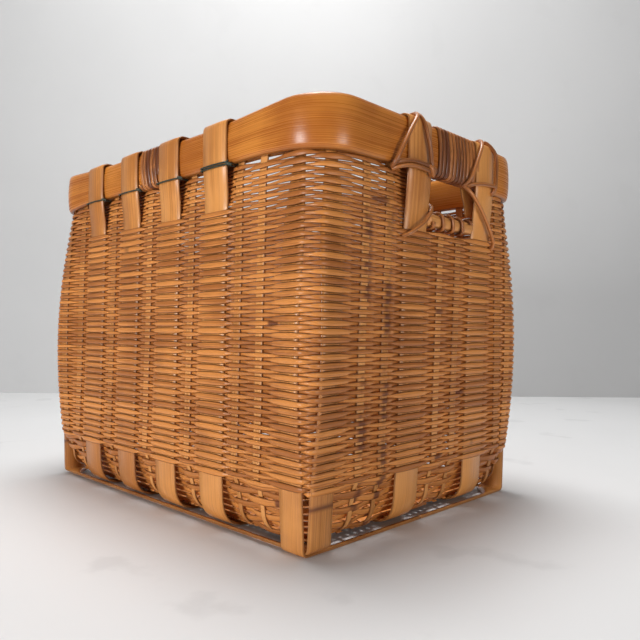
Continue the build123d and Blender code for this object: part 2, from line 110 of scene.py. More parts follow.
def show(name: str, data: bpy.types.ID) -> bpy.types.Object:
    """Puts an object with its data in the scene.

    Args:
        name: the object's name.
        data: its mesh, camera or light.

    Returns:
        The object.
    """
    thing = bpy.data.objects.new(name, data)
    bpy.context.scene.collection.objects.link(thing)
    return thing


class Graph:
    """A node tree, built a node at a time."""

    def __init__(self, tree: bpy.types.NodeTree) -> None:
        """Keeps the tree."""
        self.tree = tree

    def put(self, socket: Socket, value: object) -> None:
        """Fills or links one input.

        Args:
            socket: the input.
            value: a socket to link, or a value to set.
        """
        if isinstance(value, Socket):
            self.tree.links.new(value, socket)
        elif socket.type == "RGBA" and len(value) == 3:
            socket.default_value = (*value, 1)
        else:
            socket.default_value = value

    def add(self, kind: str, settings: dict | None = None, **inputs: object) -> bpy.types.Node:
        """Adds a node and fills or links its inputs.

        Args:
            kind: the node's type.
            settings: the node's own properties.
            inputs: socket names, with underscores for spaces, and a value or a socket.

        Returns:
            The new node.
        """
        node = self.tree.nodes.new(kind)
        for key, value in (settings or {}).items():
            setattr(node, key, value)
        for key, value in inputs.items():
            self.put(node.inputs[key.replace("_", " ")], value)
        return node

    def math(self, operation: str, *values: object) -> Socket:
        """Adds a sum on numbers and returns its result.

        Args:
            operation: the kind of sum.
            values: numbers to set, or sockets to link.

        Returns:
            The result's socket.
        """
        node = self.tree.nodes.new("ShaderNodeMath")
        node.operation = operation
        for socket, value in zip(node.inputs, values):
            self.put(socket, value)
        return node.outputs[0]

    def chain(self, operation: str, first: object, *others: object) -> Socket:
        """Adds the same sum for each further number, from left to right.

        Args:
            operation: the kind of sum.
            first: the first number.
            others: the numbers that follow it.

        Returns:
            The last result's socket.
        """
        for other in others:
            first = self.math(operation, first, other)
        return first

    def times(self, *values: object) -> Socket:
        """Multiplies numbers."""
        return self.chain("MULTIPLY", *values)

    def plus(self, *values: object) -> Socket:
        """Adds up numbers."""
        return self.chain("ADD", *values)

    def minus(self, first: object, second: object) -> Socket:
        """Takes the second number from the first."""
        return self.math("SUBTRACT", first, second)

    def vector(self, operation: str, *values: object, scale: object = None) -> Socket:
        """Adds a sum on vectors and returns its result.

        Args:
            operation: the kind of sum.
            values: vectors to set, or sockets to link.
            scale: the factor, where the sum has one.

        Returns:
            The result's socket.
        """
        node = self.tree.nodes.new("ShaderNodeVectorMath")
        node.operation = operation
        for socket, value in zip(node.inputs, values):
            self.put(socket, value)
        if scale is not None:
            self.put(node.inputs["Scale"], scale)
        return node.outputs["Vector"]

    def ease(self, value: object, low: object, high: object) -> Socket:
        """Eases a value from 0 at low to 1 at high.

        Args:
            value: the value.
            low: where it starts to rise.
            high: where it reaches 1.

        Returns:
            The eased value's socket.
        """
        node = self.add("ShaderNodeMapRange", {"interpolation_type": "SMOOTHSTEP"}, Value=value)
        self.put(node.inputs["From Min"], low)
        self.put(node.inputs["From Max"], high)
        return node.outputs[0]


class Shader(Graph):
    """A material's node tree."""

    def __init__(self, name: str) -> None:
        """Starts an empty tree with its output.

        Args:
            name: the material's name.
        """
        self.material = bpy.data.materials.new(name)
        self.material.use_nodes = True
        super().__init__(self.material.node_tree)
        self.tree.nodes.clear()
        self.output = self.tree.nodes.new("ShaderNodeOutputMaterial")
        self.place = self.add("ShaderNodeTexCoord").outputs["Object"]

    def attribute(self, name: str) -> Socket:
        """Reads one of the piece's own numbers."""
        return self.add("ShaderNodeAttribute", {"attribute_name": name}).outputs["Fac"]

    def noise(self, vector: object, scale: float, detail: float = 3.0) -> Socket:
        """Adds a noise and returns its strength."""
        node = self.add("ShaderNodeTexNoise", Vector=vector, Scale=scale, Detail=detail)
        return node.outputs["Fac"]

    def join(self, x: object, y: object, z: object) -> Socket:
        """Joins three numbers into a vector."""
        return self.add("ShaderNodeCombineXYZ", X=x, Y=y, Z=z).outputs["Vector"]

    def mix(self, share: object, first: object, second: object) -> Socket:
        """Mixes two colours.

        Args:
            share: how much of the second colour there is.
            first: the first colour.
            second: the second colour.

        Returns:
            The mixed colour's socket.
        """
        node = self.add("ShaderNodeMix", {"data_type": "RGBA"})
        for index, value in ((0, share), (6, first), (7, second)):
            self.put(node.inputs[index], value)
        return node.outputs[2]

    def finish(self, surface: bpy.types.Node) -> bpy.types.Material:
        """Links the surface and returns the material."""
        self.tree.links.new(surface.outputs["BSDF"], self.output.inputs["Surface"])
        return self.material


@dataclass(frozen=True)
class Bamboo:
    """Split bamboo or cane: fibres along its length, cloudy colour, node stains, painted edge
    shade.

    Its pieces carry four numbers: run and side place a point along and across the strip, tone
    varies the strip's colour, and knot marks a node ring.
    """

    name: str
    light: Colour
    deep: Colour
    stain: Colour = (0.115, 0.028, 0.010)
    # Painted shade: the edge colour darkens each strip towards its edges, where strips meet and
    # pass under one another.
    edge: Colour = (0.13, 0.045, 0.014)
    roughness: float = 0.40
    gloss: float = 0.38
    fibre_length: float = 9.0
    fibre_fineness: float = 5.0
    fibre_depth: float = 0.00025
    cloud_scale: float = 13.0
    fibre_share: float = 0.55
    cloud_share: float = 0.45
    tone_share: float = 0.22
    contrast: float = 0.10
    stain_level: float = 0.70
    # Where the painted edge shade starts across the strip, and how strong it is.
    edge_from: float = 0.72
    edge_shade: float = 0.55
    dome: float = 0.0
    stained_columns: tuple[tuple[float, float], ...] = ()
    stained_from: float = 0.20
    spot_pace: float = 16.0
    spot_shift: float = 90.0
    spot_edge: float = 0.05
    patch_scale: float = 34.0
    patch_range: tuple[float, float] = (0.43, 0.57)
    stain_depth: tuple[float, float] = (0.45, 0.8)
    fibre_shift: float = 40.0
    rough_range: tuple[float, float] = (-0.08, 0.18)

    def stains(self, shade: Shader, run: Socket, tone: Socket) -> Socket:
        """Where the dark red stains lie: in spots, and on some uprights of the right-hand end.

        Args:
            shade: the material's tree.
            run: the distance along the strip.
            tone: the strip's own number.

        Returns:
            The stain's strength.
        """
        pace, shift = shade.times(run, self.spot_pace), shade.times(tone, self.spot_shift)
        along = shade.join(pace, shift, 0.0)
        spots = shade.noise(along, 1.0, 2.0)
        stain = shade.ease(spots, self.stain_level, self.stain_level + self.spot_edge)
        for middle, width in self.stained_columns:
            parts = shade.add("ShaderNodeSeparateXYZ", Vector=shade.place).outputs
            away = shade.math("ABSOLUTE", shade.minus(parts["Y"], middle))
            band = shade.minus(1.0, shade.ease(away, width * 0.3, width))
            end = shade.ease(parts["X"], self.stained_from, self.stained_from + 0.01)
            patch = shade.noise(shade.place, self.patch_scale, 4.0)
            patch = shade.ease(patch, *self.patch_range)
            stain = shade.math("MAXIMUM", stain, shade.times(band, end, patch))
        return stain

    def material(self) -> bpy.types.Material:
        """Builds the finish and returns its material.

        Returns:
            The material.
        """
        shade = Shader(self.name)
        run, side, tone, knot = (shade.attribute(n) for n in ("run", "side", "tone", "knot"))
        lines = shade.join(
            shade.times(run, self.fibre_length),
            shade.times(side, self.fibre_fineness),
            shade.times(tone, self.fibre_shift),
        )
        fibre = shade.noise(lines, 1.0, 5.0)
        cloud = shade.noise(shade.place, self.cloud_scale, 3.0)
        warm = shade.plus(
            shade.times(fibre, self.fibre_share),
            shade.times(cloud, self.cloud_share),
            shade.times(shade.minus(tone, 0.5), self.tone_share),
        )
        warm = shade.ease(warm, 0.50 - self.contrast, 0.50 + self.contrast)
        colour = shade.mix(warm, self.deep, self.light)
        # Painted shade: the colour turns towards the edge colour near the strip's edges, where
        # strips meet.
        edge_shade_mask = shade.ease(shade.math("ABSOLUTE", side), self.edge_from, 1.0)
        colour = shade.mix(shade.times(edge_shade_mask, self.edge_shade), colour, self.edge)
        stain = shade.math("MAXIMUM", self.stains(shade, run, tone), knot)
        least, more = self.stain_depth
        stain = shade.times(stain, shade.plus(least, shade.times(fibre, more)))
        colour = shade.mix(stain, colour, self.stain)
        low, spread = self.rough_range
        rough = shade.plus(self.roughness + low, shade.times(fibre, spread))
        bump = shade.add(
            "ShaderNodeBump", Height=fibre, Strength=0.5, Distance=self.fibre_depth
        )
        if self.dome:
            crown = shade.minus(1.0, shade.times(side, side))
            arch = shade.add("ShaderNodeBump", Height=crown, Strength=1.0, Distance=self.dome)
            shade.put(bump.inputs["Normal"], arch.outputs["Normal"])
        surface = shade.add(
            "ShaderNodeBsdfPrincipled",
            Base_Color=colour,
            Roughness=rough,
            Specular_IOR_Level=self.gloss,
            Normal=bump.outputs["Normal"],
        )
        return shade.finish(surface)


@dataclass(frozen=True)
class IronWire:
    """Dull dark wire with a greenish coat."""

    name: str = "wire"
    dark: Colour = (0.018, 0.030, 0.020)
    pale: Colour = (0.075, 0.085, 0.062)
    roughness: float = 0.5
    metal: float = 0.35

    def material(self) -> bpy.types.Material:
        """Builds the finish and returns its material.

        Returns:
            The material.
        """
        shade = Shader(self.name)
        patch = shade.noise(shade.place, 700.0, 4.0)
        colour = shade.mix(shade.ease(patch, 0.35, 0.7), self.dark, self.pale)
        bump = shade.add("ShaderNodeBump", Height=patch, Strength=0.3, Distance=0.0002)
        surface = shade.add(
            "ShaderNodeBsdfPrincipled",
            Base_Color=colour,
            Roughness=self.roughness,
            Metallic=self.metal,
            Normal=bump.outputs["Normal"],
        )
        return shade.finish(surface)


# The weaver's edges take a strong painted shade, for the dark gaps between rows.
WEAVER = Bamboo(
    "weaver", (0.66, 0.25, 0.058), (0.37, 0.120, 0.025), roughness=0.36, edge_from=0.60,
    edge_shade=0.80, stained_columns=((-0.106, 0.009), (-0.074, 0.007)),
)
STRAP = Bamboo(
    "strap", (0.70, 0.30, 0.080), (0.42, 0.150, 0.034), fibre_length=5.0, fibre_fineness=26.0,
    roughness=0.30, stain_level=0.76, edge_from=0.90, dome=0.0034,
)
STAKE = Bamboo(
    "stake", (0.72, 0.32, 0.095), (0.44, 0.17, 0.040), fibre_length=5.0, fibre_fineness=9.0,
    stain_level=0.76,
)
RIM = Bamboo(
    "rim", (0.62, 0.225, 0.036), (0.38, 0.110, 0.016), fibre_length=4.0, fibre_fineness=26.0,
    roughness=0.27, stain_level=0.76, edge_from=0.90,
)
CANE = Bamboo(
    "cane", (0.50, 0.180, 0.048), (0.14, 0.040, 0.014), fibre_length=14.0, roughness=0.30,
    stain_level=0.76, edge_from=0.70,
)


class Side(Enum):
    """A wall of the basket, in the order met going round from the near long side."""

    FRONT = 0
    RIGHT = 1
    BACK = 2
    LEFT = 3


class Kind(Enum):
    """What stands in a column of the weave, with the half width that a weaver passes over."""

    STRAP = 0.0200
    EDGE = 0.0150
    STAKE = 0.0062


@dataclass(frozen=True)
class Column:
    """One upright of the weave: its distance from the middle of its wall at foot and mouth."""

    side: Side
    foot: float
    mouth: float
    kind: Kind

    def at(self, share: float) -> float:
        """Its distance from the middle of its wall at a share of the wall's height."""
        return between(self.foot, self.mouth, share)


@dataclass
class Wall:
    """The woven body's outer faces, from the tray's underside to the mouth."""

    foot_half: tuple[float, float] = (0.238, 0.174)
    mouth_half: tuple[float, float] = (0.248, 0.169)
    foot_corner: float = 0.010
    mouth_corner: float = 0.042
    swell: tuple[float, float] = (0.005, 0.0085)
    swell_run: float = 0.050
    tray_step: float = 0.0022
    tray_bottom: float = 0.005
    tray_bend: float = 0.024
    tray_lean: float = 0.007
    low: float = 0.062
    waist: float = 0.206
    high: float = 0.350
    arc_steps: int = 24
    rings: dict = field(default_factory=dict)

    def half(self, level: float) -> tuple[float, float]:
        """Half length and half width of the flat faces at a level."""
        share = (level - self.low) / (self.high - self.low)
        return tuple(between(f, m, share) for f, m in zip(self.foot_half, self.mouth_half))

    def tray_inset(self, level: float) -> float:
        """How far the tray lies inside the foot at a level.

        Args:
            level: the height.

        Returns:
            The distance.
        """
        rise = (level - self.tray_bottom) / self.tray_bend
        if rise >= 1:
            top = self.tray_bottom + self.tray_bend
            return self.tray_step + self.tray_lean * (self.low - level) / (self.low - top)
        drop = max(1 - (1 - max(rise, 0.0)) ** 2, 0.0) ** 0.5
        return self.tray_step + self.tray_lean + self.tray_bend * (1 - drop)

    def quarter(
        self, level: float, out: float = 0.0, tray: bool = False
    ) -> list[tuple[Vector, float]]:
        """A quarter of the outline, from the near wall's middle to the right end's middle.

        Args:
            level: the height.
            out: how far the outline is moved out.
            tray: whether it is the tray's outline and not the wall's.

        Returns:
            Points, each with its distance along the outline.
        """
        key = (round(level, 5), round(out, 5), tray)
        if key in self.rings:
            return self.rings[key]
        if tray:
            inset = self.tray_inset(level) - out
            face_x, face_y = (h - inset for h in self.foot_half)
            radius, share = self.foot_corner + 0.5 * inset, 0.0
        else:
            rise = (level - self.low) / (self.high - self.low)
            face_x, face_y = (h + out for h in self.half(level))
            opening = max(rise, 0.0) ** 2 * (self.mouth_corner - self.foot_corner)
            radius = self.foot_corner + opening + out
            share = max(4 * rise * (1 - rise), 0.0)
        centre_x = face_x + share * self.swell[0] - radius
        centre_y = face_y + share * self.swell[1] - radius
        flat = share * self.swell_run
        points = [Vector((0, -face_y, level)), Vector((centre_x - flat, -face_y, level))]
        for step in range(self.arc_steps + 1):
            turn = step * math.pi / 2 / self.arc_steps
            x, y = centre_x + radius * math.sin(turn), centre_y + radius * math.cos(turn)
            points.append(Vector((x, -y, level)))
        points += [Vector((face_x, flat - centre_y, level)), Vector((face_x, 0, level))]
        length, line = 0.0, [(points[0], 0.0)]
        for before, here in zip(points, points[1:]):
            step = (here - before).length
            if step > 1e-7:
                length += step
                line.append((here, length))
        self.rings[key] = line
        return line

    def spot(
        self, side: Side, place: float, level: float, out: float = 0.0, tray: bool = False
    ) -> tuple[Vector, Vector]:
        """A point on the outline and the direction of travel, going round from the near wall.

        Args:
            side: the wall whose middle the place is counted from.
            place: the distance from that middle, along the outline.
            level: the height.
            out: how far the outline is moved out.
            tray: whether it is the tray's outline.

        Returns:
            The point and the unit direction.
        """
        line = self.quarter(level, out, tray)
        total = line[-1][1]
        number = side.value
        if place < 0:
            place, number = place + total, (number - 1) % 4
        backwards = number % 2 == 1
        wanted = total - place if backwards else place
        wanted = min(max(wanted, 0.0), total)
        for (start, begin), (end, finish) in zip(line, line[1:]):
            if wanted <= finish:
                break
        point = start.lerp(end, (wanted - begin) / (finish - begin))
        way = (end - start).normalized()
        if backwards:
            point, way = Vector((point.x, -point.y, point.z)), Vector((-way.x, way.y, 0))
        if number >= 2:
            point, way = Vector((-point.x, -point.y, point.z)), Vector((-way.x, -way.y, 0))
        return point, way

    def woven(
        self, side: Side, places: Levels, level: float, out: float
    ) -> tuple[Vector, Vector]:
        """A point on the surface that the rows follow, and the direction of travel there.

        Args:
            side: the wall whose middle the places are counted from.
            places: the distances from that middle at foot, waist and mouth.
            level: the height.
            out: how far the point is moved out.

        Returns:
            The point and the unit direction.
        """
        s = (level - self.low) / (self.high - self.low)
        levels = (self.low, self.waist, self.high)
        found = [self.spot(side, p, h) for p, h in zip(places, levels)]
        shares = ((2 * s - 1) * (s - 1), 4 * s * (1 - s), s * (2 * s - 1))
        slopes = (4 * s - 3, 4 - 8 * s, 4 * s - 1)
        point = sum((f[0] * k for f, k in zip(found, shares)), Vector())
        rise = sum((f[0] * k for f, k in zip(found, slopes)), Vector()).normalized()
        way = sum((f[1] * k for f, k in zip(found, shares)), Vector()).normalized()
        return point + way.cross(rise).normalized() * out, way


@dataclass(frozen=True)
class Station:
    """One cross-section of a swept length: its middle, its frame and its size."""

    middle: Vector
    across: Vector
    out: Vector
    width: float
    thickness: float
    knot: float = 0.0


def oval(sides: int) -> Profile:
    """A round cross-section with as many sides."""
    turns = [2 * math.pi * i / sides for i in range(sides)]
    return tuple((math.cos(t), 0.5 * math.sin(t)) for t in turns)


STRAP_PROFILE = (
    (1.0, -0.30), (1.0, 0.10), (0.95, 0.34), (0.60, 0.45), (0.0, 0.50), (-0.60, 0.45),
    (-0.95, 0.34), (-1.0, 0.10), (-1.0, -0.30), (-0.95, -0.46), (0.0, -0.50), (0.95, -0.46),
)
CANE_PROFILE = (
    (1.0, -0.45), (0.93, 0.05), (0.6, 0.36), (0.0, 0.50), (-0.6, 0.36), (-0.93, 0.05),
    (-1.0, -0.45), (0.0, -0.50),
)
ROW_PROFILE = (
    (1.0, -0.30), (0.66, 0.28), (0.0, 0.50), (-0.66, 0.28), (-1.0, -0.30), (0.0, -0.50),
)
ROUND_PROFILE = oval(8)


class Stock:
    """Collects swept lengths and makes one piece of them."""

    def __init__(self, name: str) -> None:
        """Starts empty.

        Args:
            name: the piece's name.
        """
        self.name = name
        self.points: list[Vector] = []
        self.faces: list[tuple[int, ...]] = []
        self.numbers: dict[str, list[float]] = {"run": [], "side": [], "tone": [], "knot": []}

    def point(self, place: Vector, run: float, side: float, tone: float, knot: float) -> None:
        """Adds a point with its numbers.

        Args:
            place: where it is.
            run: its distance along the length.
            side: its place across, from -1 to 1.
            tone: a number from 0 to 1 that varies its colour.
            knot: how far it belongs to a node ring, from 0 to 1.
        """
        self.points.append(place)
        for values, value in zip(self.numbers.values(), (run, side, tone, knot)):
            values.append(value)

    def sweep(
        self, stations: list[Station], profile: Profile, tone: float | list[float]
    ) -> None:
        """Adds one length.

        Args:
            stations: its cross-sections in order.
            profile: points round a cross-section, as shares of half the width and of the
                thickness.
            tone: a number from 0 to 1 that varies its colour, or one for each station.
        """
        base, count = len(self.points), len(profile)
        run, last = 0.0, stations[0].middle
        tones = tone if isinstance(tone, list) else [tone] * len(stations)
        for station, own in zip(stations, tones):
            run += (station.middle - last).length
            last = station.middle
            for a, o in profile:
                aside = station.across * (a * station.width / 2)
                place = station.middle + aside + station.out * (o * station.thickness)
                self.point(place, run, a, own, station.knot)
        first, second = stations[0], stations[1]
        ahead = first.across.cross(first.out).dot(second.middle - first.middle) > 0
        faces = tube(base, count, len(stations))
        self.faces += faces if ahead else [face[::-1] for face in faces]

    def piece(self, material: bpy.types.Material, slot: str, *nodes: str) -> None:
        """Makes the piece and gives it its finish, its body and the nodes that it stands for.

        Args:
            material: its finish.
            slot: the record's material slot.
            nodes: the frame's nodes that it replaces.
        """
        mesh = bpy.data.meshes.new(self.name)
        mesh.from_pydata([tuple(p) for p in self.points], [], self.faces)
        mesh.update()
        for key, values in self.numbers.items():
            mesh.attributes.new(key, "FLOAT", "POINT").data.foreach_set("value", values)
        mesh.shade_smooth()
        mesh.materials.append(material)
        settle(self.name, mesh, slot, nodes)


def settle(name: str, mesh: bpy.types.Mesh, slot: str, nodes: tuple[str, ...]) -> None:
    """Puts a mesh in the scene as a piece of the basket.

    Args:
        name: the piece's name.
        mesh: its finished mesh.
        slot: the record's material slot.
        nodes: the frame's nodes that it replaces.
    """
    mesh.name = name
    piece = show(name, mesh)
    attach(piece, "root")
    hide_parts(*nodes)
    log.info("%s: %d faces, slot %s, for %s", name, len(mesh.polygons), slot, ", ".join(nodes))


def rounded(points: list[Vector], radii: list[float], steps: int = 7) -> list[Vector]:
    """A line with its corners rounded.

    Args:
        points: the line's corners and ends.
        radii: the radius of each inner corner.
        steps: how many pieces each bend has.

    Returns:
        The rounded line.
    """
    line = [points[0]]
    for before, here, after, radius in zip(points, points[1:], points[2:], radii):
        back, on = (before - here).normalized(), (after - here).normalized()
        half = back.angle(on) / 2
        if radius <= 0 or half > STRAIGHT:
            line.append(here)
            continue
        longest = LONGEST_REACH * min((before - here).length, (after - here).length)
        reach = min(radius / math.tan(half), longest)
        start, end = here + back * reach, here + on * reach
        for i in range(steps + 1):
            t = i / steps
            line.append(start * (1 - t) ** 2 + here * (2 * t * (1 - t)) + end * t * t)
    return line + [points[-1]]


def divided(line: list[Vector], step: float) -> list[Vector]:
    """The line with points added so that no run is longer than the step.

    Args:
        line: the line's points.
        step: the longest run.

    Returns:
        The points of the divided line.
    """
    out = [line[0]]
    for before, here in zip(line, line[1:]):
        parts = max(1, math.ceil((here - before).length / step))
        out += [before.lerp(here, (i + 1) / parts) for i in range(parts)]
    return out


def strand(points: list[Vector], radius: float, steps: int = 7) -> list[Station]:
    """Stations of a round strand on a smooth line through points, with eased ends.

    Args:
        points: what the strand passes through.
        radius: its radius.
        steps: how many stations each run has.

    Returns:
        The stations.
    """
    ends = [points[0] * 2 - points[1]] + points + [points[-1] * 2 - points[-2]]
    line = []
    for a, b, c, d in zip(ends, ends[1:], ends[2:], ends[3:]):
        for i in range(steps):
            t = i / steps
            square = (a * 2 - b * 5 + c * 4 - d) * t**2
            cube = (b * 3 - a - c * 3 + d) * t**3
            line.append((b * 2 + (c - a) * t + square + cube) / 2)
    line.append(points[-1])
    stations, across = [], None
    for i, here in enumerate(line):
        way = heading(line, i)
        across = way.orthogonal() if across is None else across - way * across.dot(way)
        across = across.normalized()
        end = min(i, len(line) - 1 - i)
        size = 2 * radius * (STRAND_END if end == 0 else 1.0)
        stations.append(Station(here, across, way.cross(across), size, size))
    return stations


@dataclass
class Straps:
    """The bamboo straps: wide ones looped over the rim and narrower ones beside a corner.

    Pairs of sizes are for a strap along X and for one along Y.
    """

    wall: Wall
    finish: bpy.types.Material
    width: float = 0.038
    thickness: float = 0.0022
    clearance: float = 0.0003
    step: float = 0.006
    under: tuple[float, float] = (0.0036, 0.0011)
    foot_inset: float = 0.0035
    foot_bend: float = 0.032
    exit_levels: tuple[float, float] = (0.300, 0.316)
    exit_bend: float = 0.12
    loop_levels: tuple[float, float] = (0.4030, 0.3975)
    loop_bend: float = 0.0075
    rim_bottom: float = 0.3545
    rim_stand: float = 0.0075
    inner_face: float = 0.0095
    weave_depth: float = 0.0056
    leg_end: float = 0.322
    leg_rise: float = 0.012
    leg_bend: float = 0.02
    wave: float = 0.00022
    sway: float = 0.0005
    edge_width: float = 0.029
    edge_under_width: float = 0.0055
    edge_top_width: float = 0.010
    edge_top: float = 0.392
    edge_foot_bend: float = 0.006
    taper_from: float = 0.270
    knot_size: float = 0.0022
    ring_steps: tuple[float, ...] = (-0.004, -0.002, -0.001, 0, 0.001, 0.002, 0.004)
    ring_from: float = 0.02
    foot_taper: tuple[float, float] = (0.012, 0.045)
    rim_tuck: float = 0.0020
    rim_tuck_levels: tuple[float, float] = (0.340, 0.356)
    sag: float = 0.0012
    sag_levels: tuple[float, float] = (0.10, 0.26)
    wave_levels: tuple[float, float] = (0.008, 0.03)
    wave_pace: float = 22
    sway_pace: float = 9
    width_pace: float = 14
    width_change: float = 0.015

    def half_route(self, axis: int) -> list[Vector]:
        """Half of a looped strap's middle line: x is the distance out, z the height.

        Args:
            axis: 0 for a strap along X, 1 for one along Y.

        Returns:
            The line's points.
        """
        wall, t, under = self.wall, self.thickness, self.under[axis]
        skin = self.clearance - t / 2
        foot, middle = (wall.half(z)[axis] + skin for z in (wall.low, wall.waist))
        mouth = wall.half(wall.high)[axis]
        outside = mouth + self.rim_stand + self.clearance + t / 2
        inside = mouth - self.inner_face - self.clearance - t / 2
        leg = wall.half(self.leg_end)[axis] - self.weave_depth - self.clearance - t / 2
        leave, loop = self.exit_levels[axis], self.loop_levels[axis]
        corners = (
            (0, under, 0.0),
            (foot - self.foot_inset, under, self.foot_bend),
            (foot, wall.low, 0.03),
            (middle, wall.waist, 0.3),
            (wall.half(leave)[axis] + skin, leave, self.exit_bend),
            (outside, self.rim_bottom - 0.006, self.exit_bend),
            (outside, loop, self.loop_bend),
            (inside, loop, self.loop_bend),
            (inside, self.rim_bottom - 0.002, self.leg_bend),
            (leg, self.leg_end + self.leg_rise, self.leg_bend),
            (leg, self.leg_end, 0.0),
        )
        points = [Vector((distance, 0, z)) for distance, z, _ in corners]
        return divided(rounded(points, [bend for *_, bend in corners[1:-1]]), self.step)

    def stations(self, axis: int, place: float, seed: float) -> list[Station]:
        """Cross-sections of one looped strap from end to end.

        Args:
            axis: 0 for a strap along X, 1 for one along Y.
            place: where it lies across that direction.
            seed: a number of its own.

        Returns:
            The stations.
        """
        half = self.half_route(axis)
        flat = [Vector((-p.x, 0, p.z)) for p in half[:0:-1]] + half
        stations = []
        for i, p in enumerate(flat):
            way = heading(flat, i)
            out = Vector((way.z, 0, -way.x))
            pace = self.wave_pace
            wave = self.wave * noise.noise(Vector((p.x * pace, seed, p.z * pace)))
            pace = self.sway_pace
            sway = self.sway * noise.noise(Vector((p.x * pace, seed + 5, p.z * pace)))
            sway += LEANS[axis] * smooth(p.z, self.exit_levels[0], self.rim_bottom)
            pace = self.width_pace
            wide = noise.noise(Vector((p.x * pace, seed + 9, p.z * pace)))
            wide = 1 + self.width_change * wide
            p = p + out * (wave * smooth(p.z, *self.wave_levels))
            middle, outward, ahead = (Vector((v.x, 0, v.z)) for v in (p, out, way))
            if axis == 1:
                middle, outward, ahead = (v.yxz for v in (middle, outward, ahead))
            middle[1 - axis] = place + sway
            across = outward.cross(ahead)
            stations.append(Station(middle, across, outward, self.width * wide, self.thickness))
        return stations

    def edge_foot(self, side: Side, place: float, knot: float) -> list[Station]:
        """Cross-sections of a tapered strap from the base's middle to the foot of a wall.

        Args:
            side: the wall.
            place: its place at the foot.
            knot: the level of its node ring.

        Returns:
            The stations.
        """
        skin = self.clearance - self.thickness / 2
        start, _ = self.wall.spot(side, place, self.wall.low, skin)
        _, way = self.wall.spot(side, 0.0, self.wall.low)
        out = way.cross(UP)
        under = UP * self.under[1 - side.value % 2]
        base, corner = start - out * start.dot(out), start - out * self.foot_inset
        turns = [Vector((p.x, p.y, 0)) + under for p in (base, corner)] + [start]
        line = divided(rounded(turns, [self.edge_foot_bend]), self.step)
        ring_levels = [knot + d for d in self.ring_steps]
        lean = (line[-1] - line[-3]).normalized()
        ringed = [p for p in line if p.z < ring_levels[0]]
        ringed += [ringed[-1] + lean * ((z - ringed[-1].z) / lean.z) for z in ring_levels]
        ringed += [p for p in line if p.z > ring_levels[-1]]
        stations = []
        for i, p in enumerate(ringed):
            ahead = heading(ringed, i)
            outward = ahead.cross(way) * -1
            ring = math.exp(-(((p.z - knot) / self.knot_size) ** 2))
            ring = ring if p.z > self.ring_from else 0.0
            narrow = smooth((start - p).dot(out), *self.foot_taper)
            width = between(self.edge_width, self.edge_under_width, narrow)
            p = p + way * math.copysign((self.edge_width - width) / 2, place)
            thickness = self.thickness * (1 + 0.25 * ring)
            stations.append(Station(p, outward.cross(ahead), outward, width, thickness, ring))
        return stations

    def edge_run(self, side: Side, foot: float, mouth: float, knot: float) -> list[Station]:
        """Cross-sections of a tapered strap, from the base's middle up one wall.

        Args:
            side: the wall.
            foot: its place at the foot.
            mouth: its place at the mouth.
            knot: the level of its node ring.

        Returns:
            The stations.
        """
        stations = self.edge_foot(side, foot, knot)
        skin = self.clearance - self.thickness / 2
        places = (foot, (foot + mouth) / 2, mouth)
        z = self.wall.low + self.step
        while z <= self.edge_top:
            tuck = self.rim_tuck * smooth(z, *self.rim_tuck_levels)
            tuck += self.sag * smooth(z, *self.sag_levels)
            p, way = self.wall.woven(side, places, min(z, self.wall.high), skin - tuck)
            p.z = z
            narrow = (z - self.taper_from) / (self.wall.high - self.taper_from)
            narrow = min(max(narrow, 0.0), 1.0)
            width = between(self.edge_width, self.edge_top_width, narrow)
            stations.append(Station(p, way, way.cross(UP), width, self.thickness))
            z += self.step
        return [replace(s, across=s.across * math.copysign(1, s.across.dot(way))) for s in stations]

    def build(self) -> None:
        """Makes every strap as a piece of its own."""
        for kind, axis, places, seed, tone, tone_step in (
            ("cross", 1, CROSS_AT, 0.0, 0.0, 0.17),
            ("length", 0, LENGTH_AT, 20.0, 0.25, 0.3),
        ):
            for number, place in enumerate(places, start=1):
                stock = Stock(f"wide_{kind}_strap_{number}")
                stations = self.stations(axis, place, seed + number * 3.1)
                stock.sweep(stations, STRAP_PROFILE, tone + tone_step * number)
                stock.piece(self.finish, "bamboo_strap", f"{kind}_strap_{number}")
        long_runs = ((Side.FRONT, 1, 0.012, 0.45), (Side.BACK, -1, 0.018, 0.9))
        end_runs = ((Side.RIGHT, 1, 0.042, 0.35), (Side.LEFT, -1, 0.042, 0.35))
        for kind, (foot, mouth), runs in (
            ("cross", EDGE_CROSS_AT, long_runs), ("length", EDGE_LENGTH_AT, end_runs)
        ):
            stock = Stock(f"corner_{kind}_strap")
            for side, sign, knot, tone in runs:
                stations = self.edge_run(side, sign * foot, sign * mouth, knot)
                stock.sweep(stations, STRAP_PROFILE, tone)
            stock.piece(self.finish, "bamboo_strap", f"{kind}_strap_edge")


def basket_columns() -> list[Column]:
    """Every upright of the weave, in order round the basket from the near wall's left end.

    Returns:
        The uprights.
    """
    front = [(-0.2150, -0.2225, Kind.STAKE), (*EDGE_CROSS_AT, Kind.EDGE)]
    front += [(x, x, Kind.STRAP) for x in CROSS_AT] + [(x, x, Kind.STAKE) for x in STAKES_FRONT]
    right = [(*EDGE_LENGTH_AT, Kind.EDGE)] + [(y, y, Kind.STRAP) for y in LENGTH_AT]
    right += [(y, y, Kind.STAKE) for y in STAKES_RIGHT]
    right += [(0.140, 0.124, Kind.STAKE), (0.1560, 0.1510, Kind.STAKE)]
    columns = []
    for side in Side:
        sign = 1 if side in (Side.FRONT, Side.RIGHT) else -1
        rows = front if side in (Side.FRONT, Side.BACK) else right
        found = [Column(side, sign * f, sign * m, k) for f, m, k in rows]
        columns += sorted(found, key=lambda column: column.foot)
    return columns


@dataclass(frozen=True)
class Spot:
    """One station of a weaver's template.

    Its points and directions of travel are at three levels. Even rows pass over where the phase
    is 1 and odd rows where it is -1, and a row that passes over is taller by the swell. Where
    loose is 1, rows above the exit level stay under, and where it is 2, every row does.
    """

    points: list[Vector]
    ways: list[Vector]
    phase: float
    swell: float
    loose: float


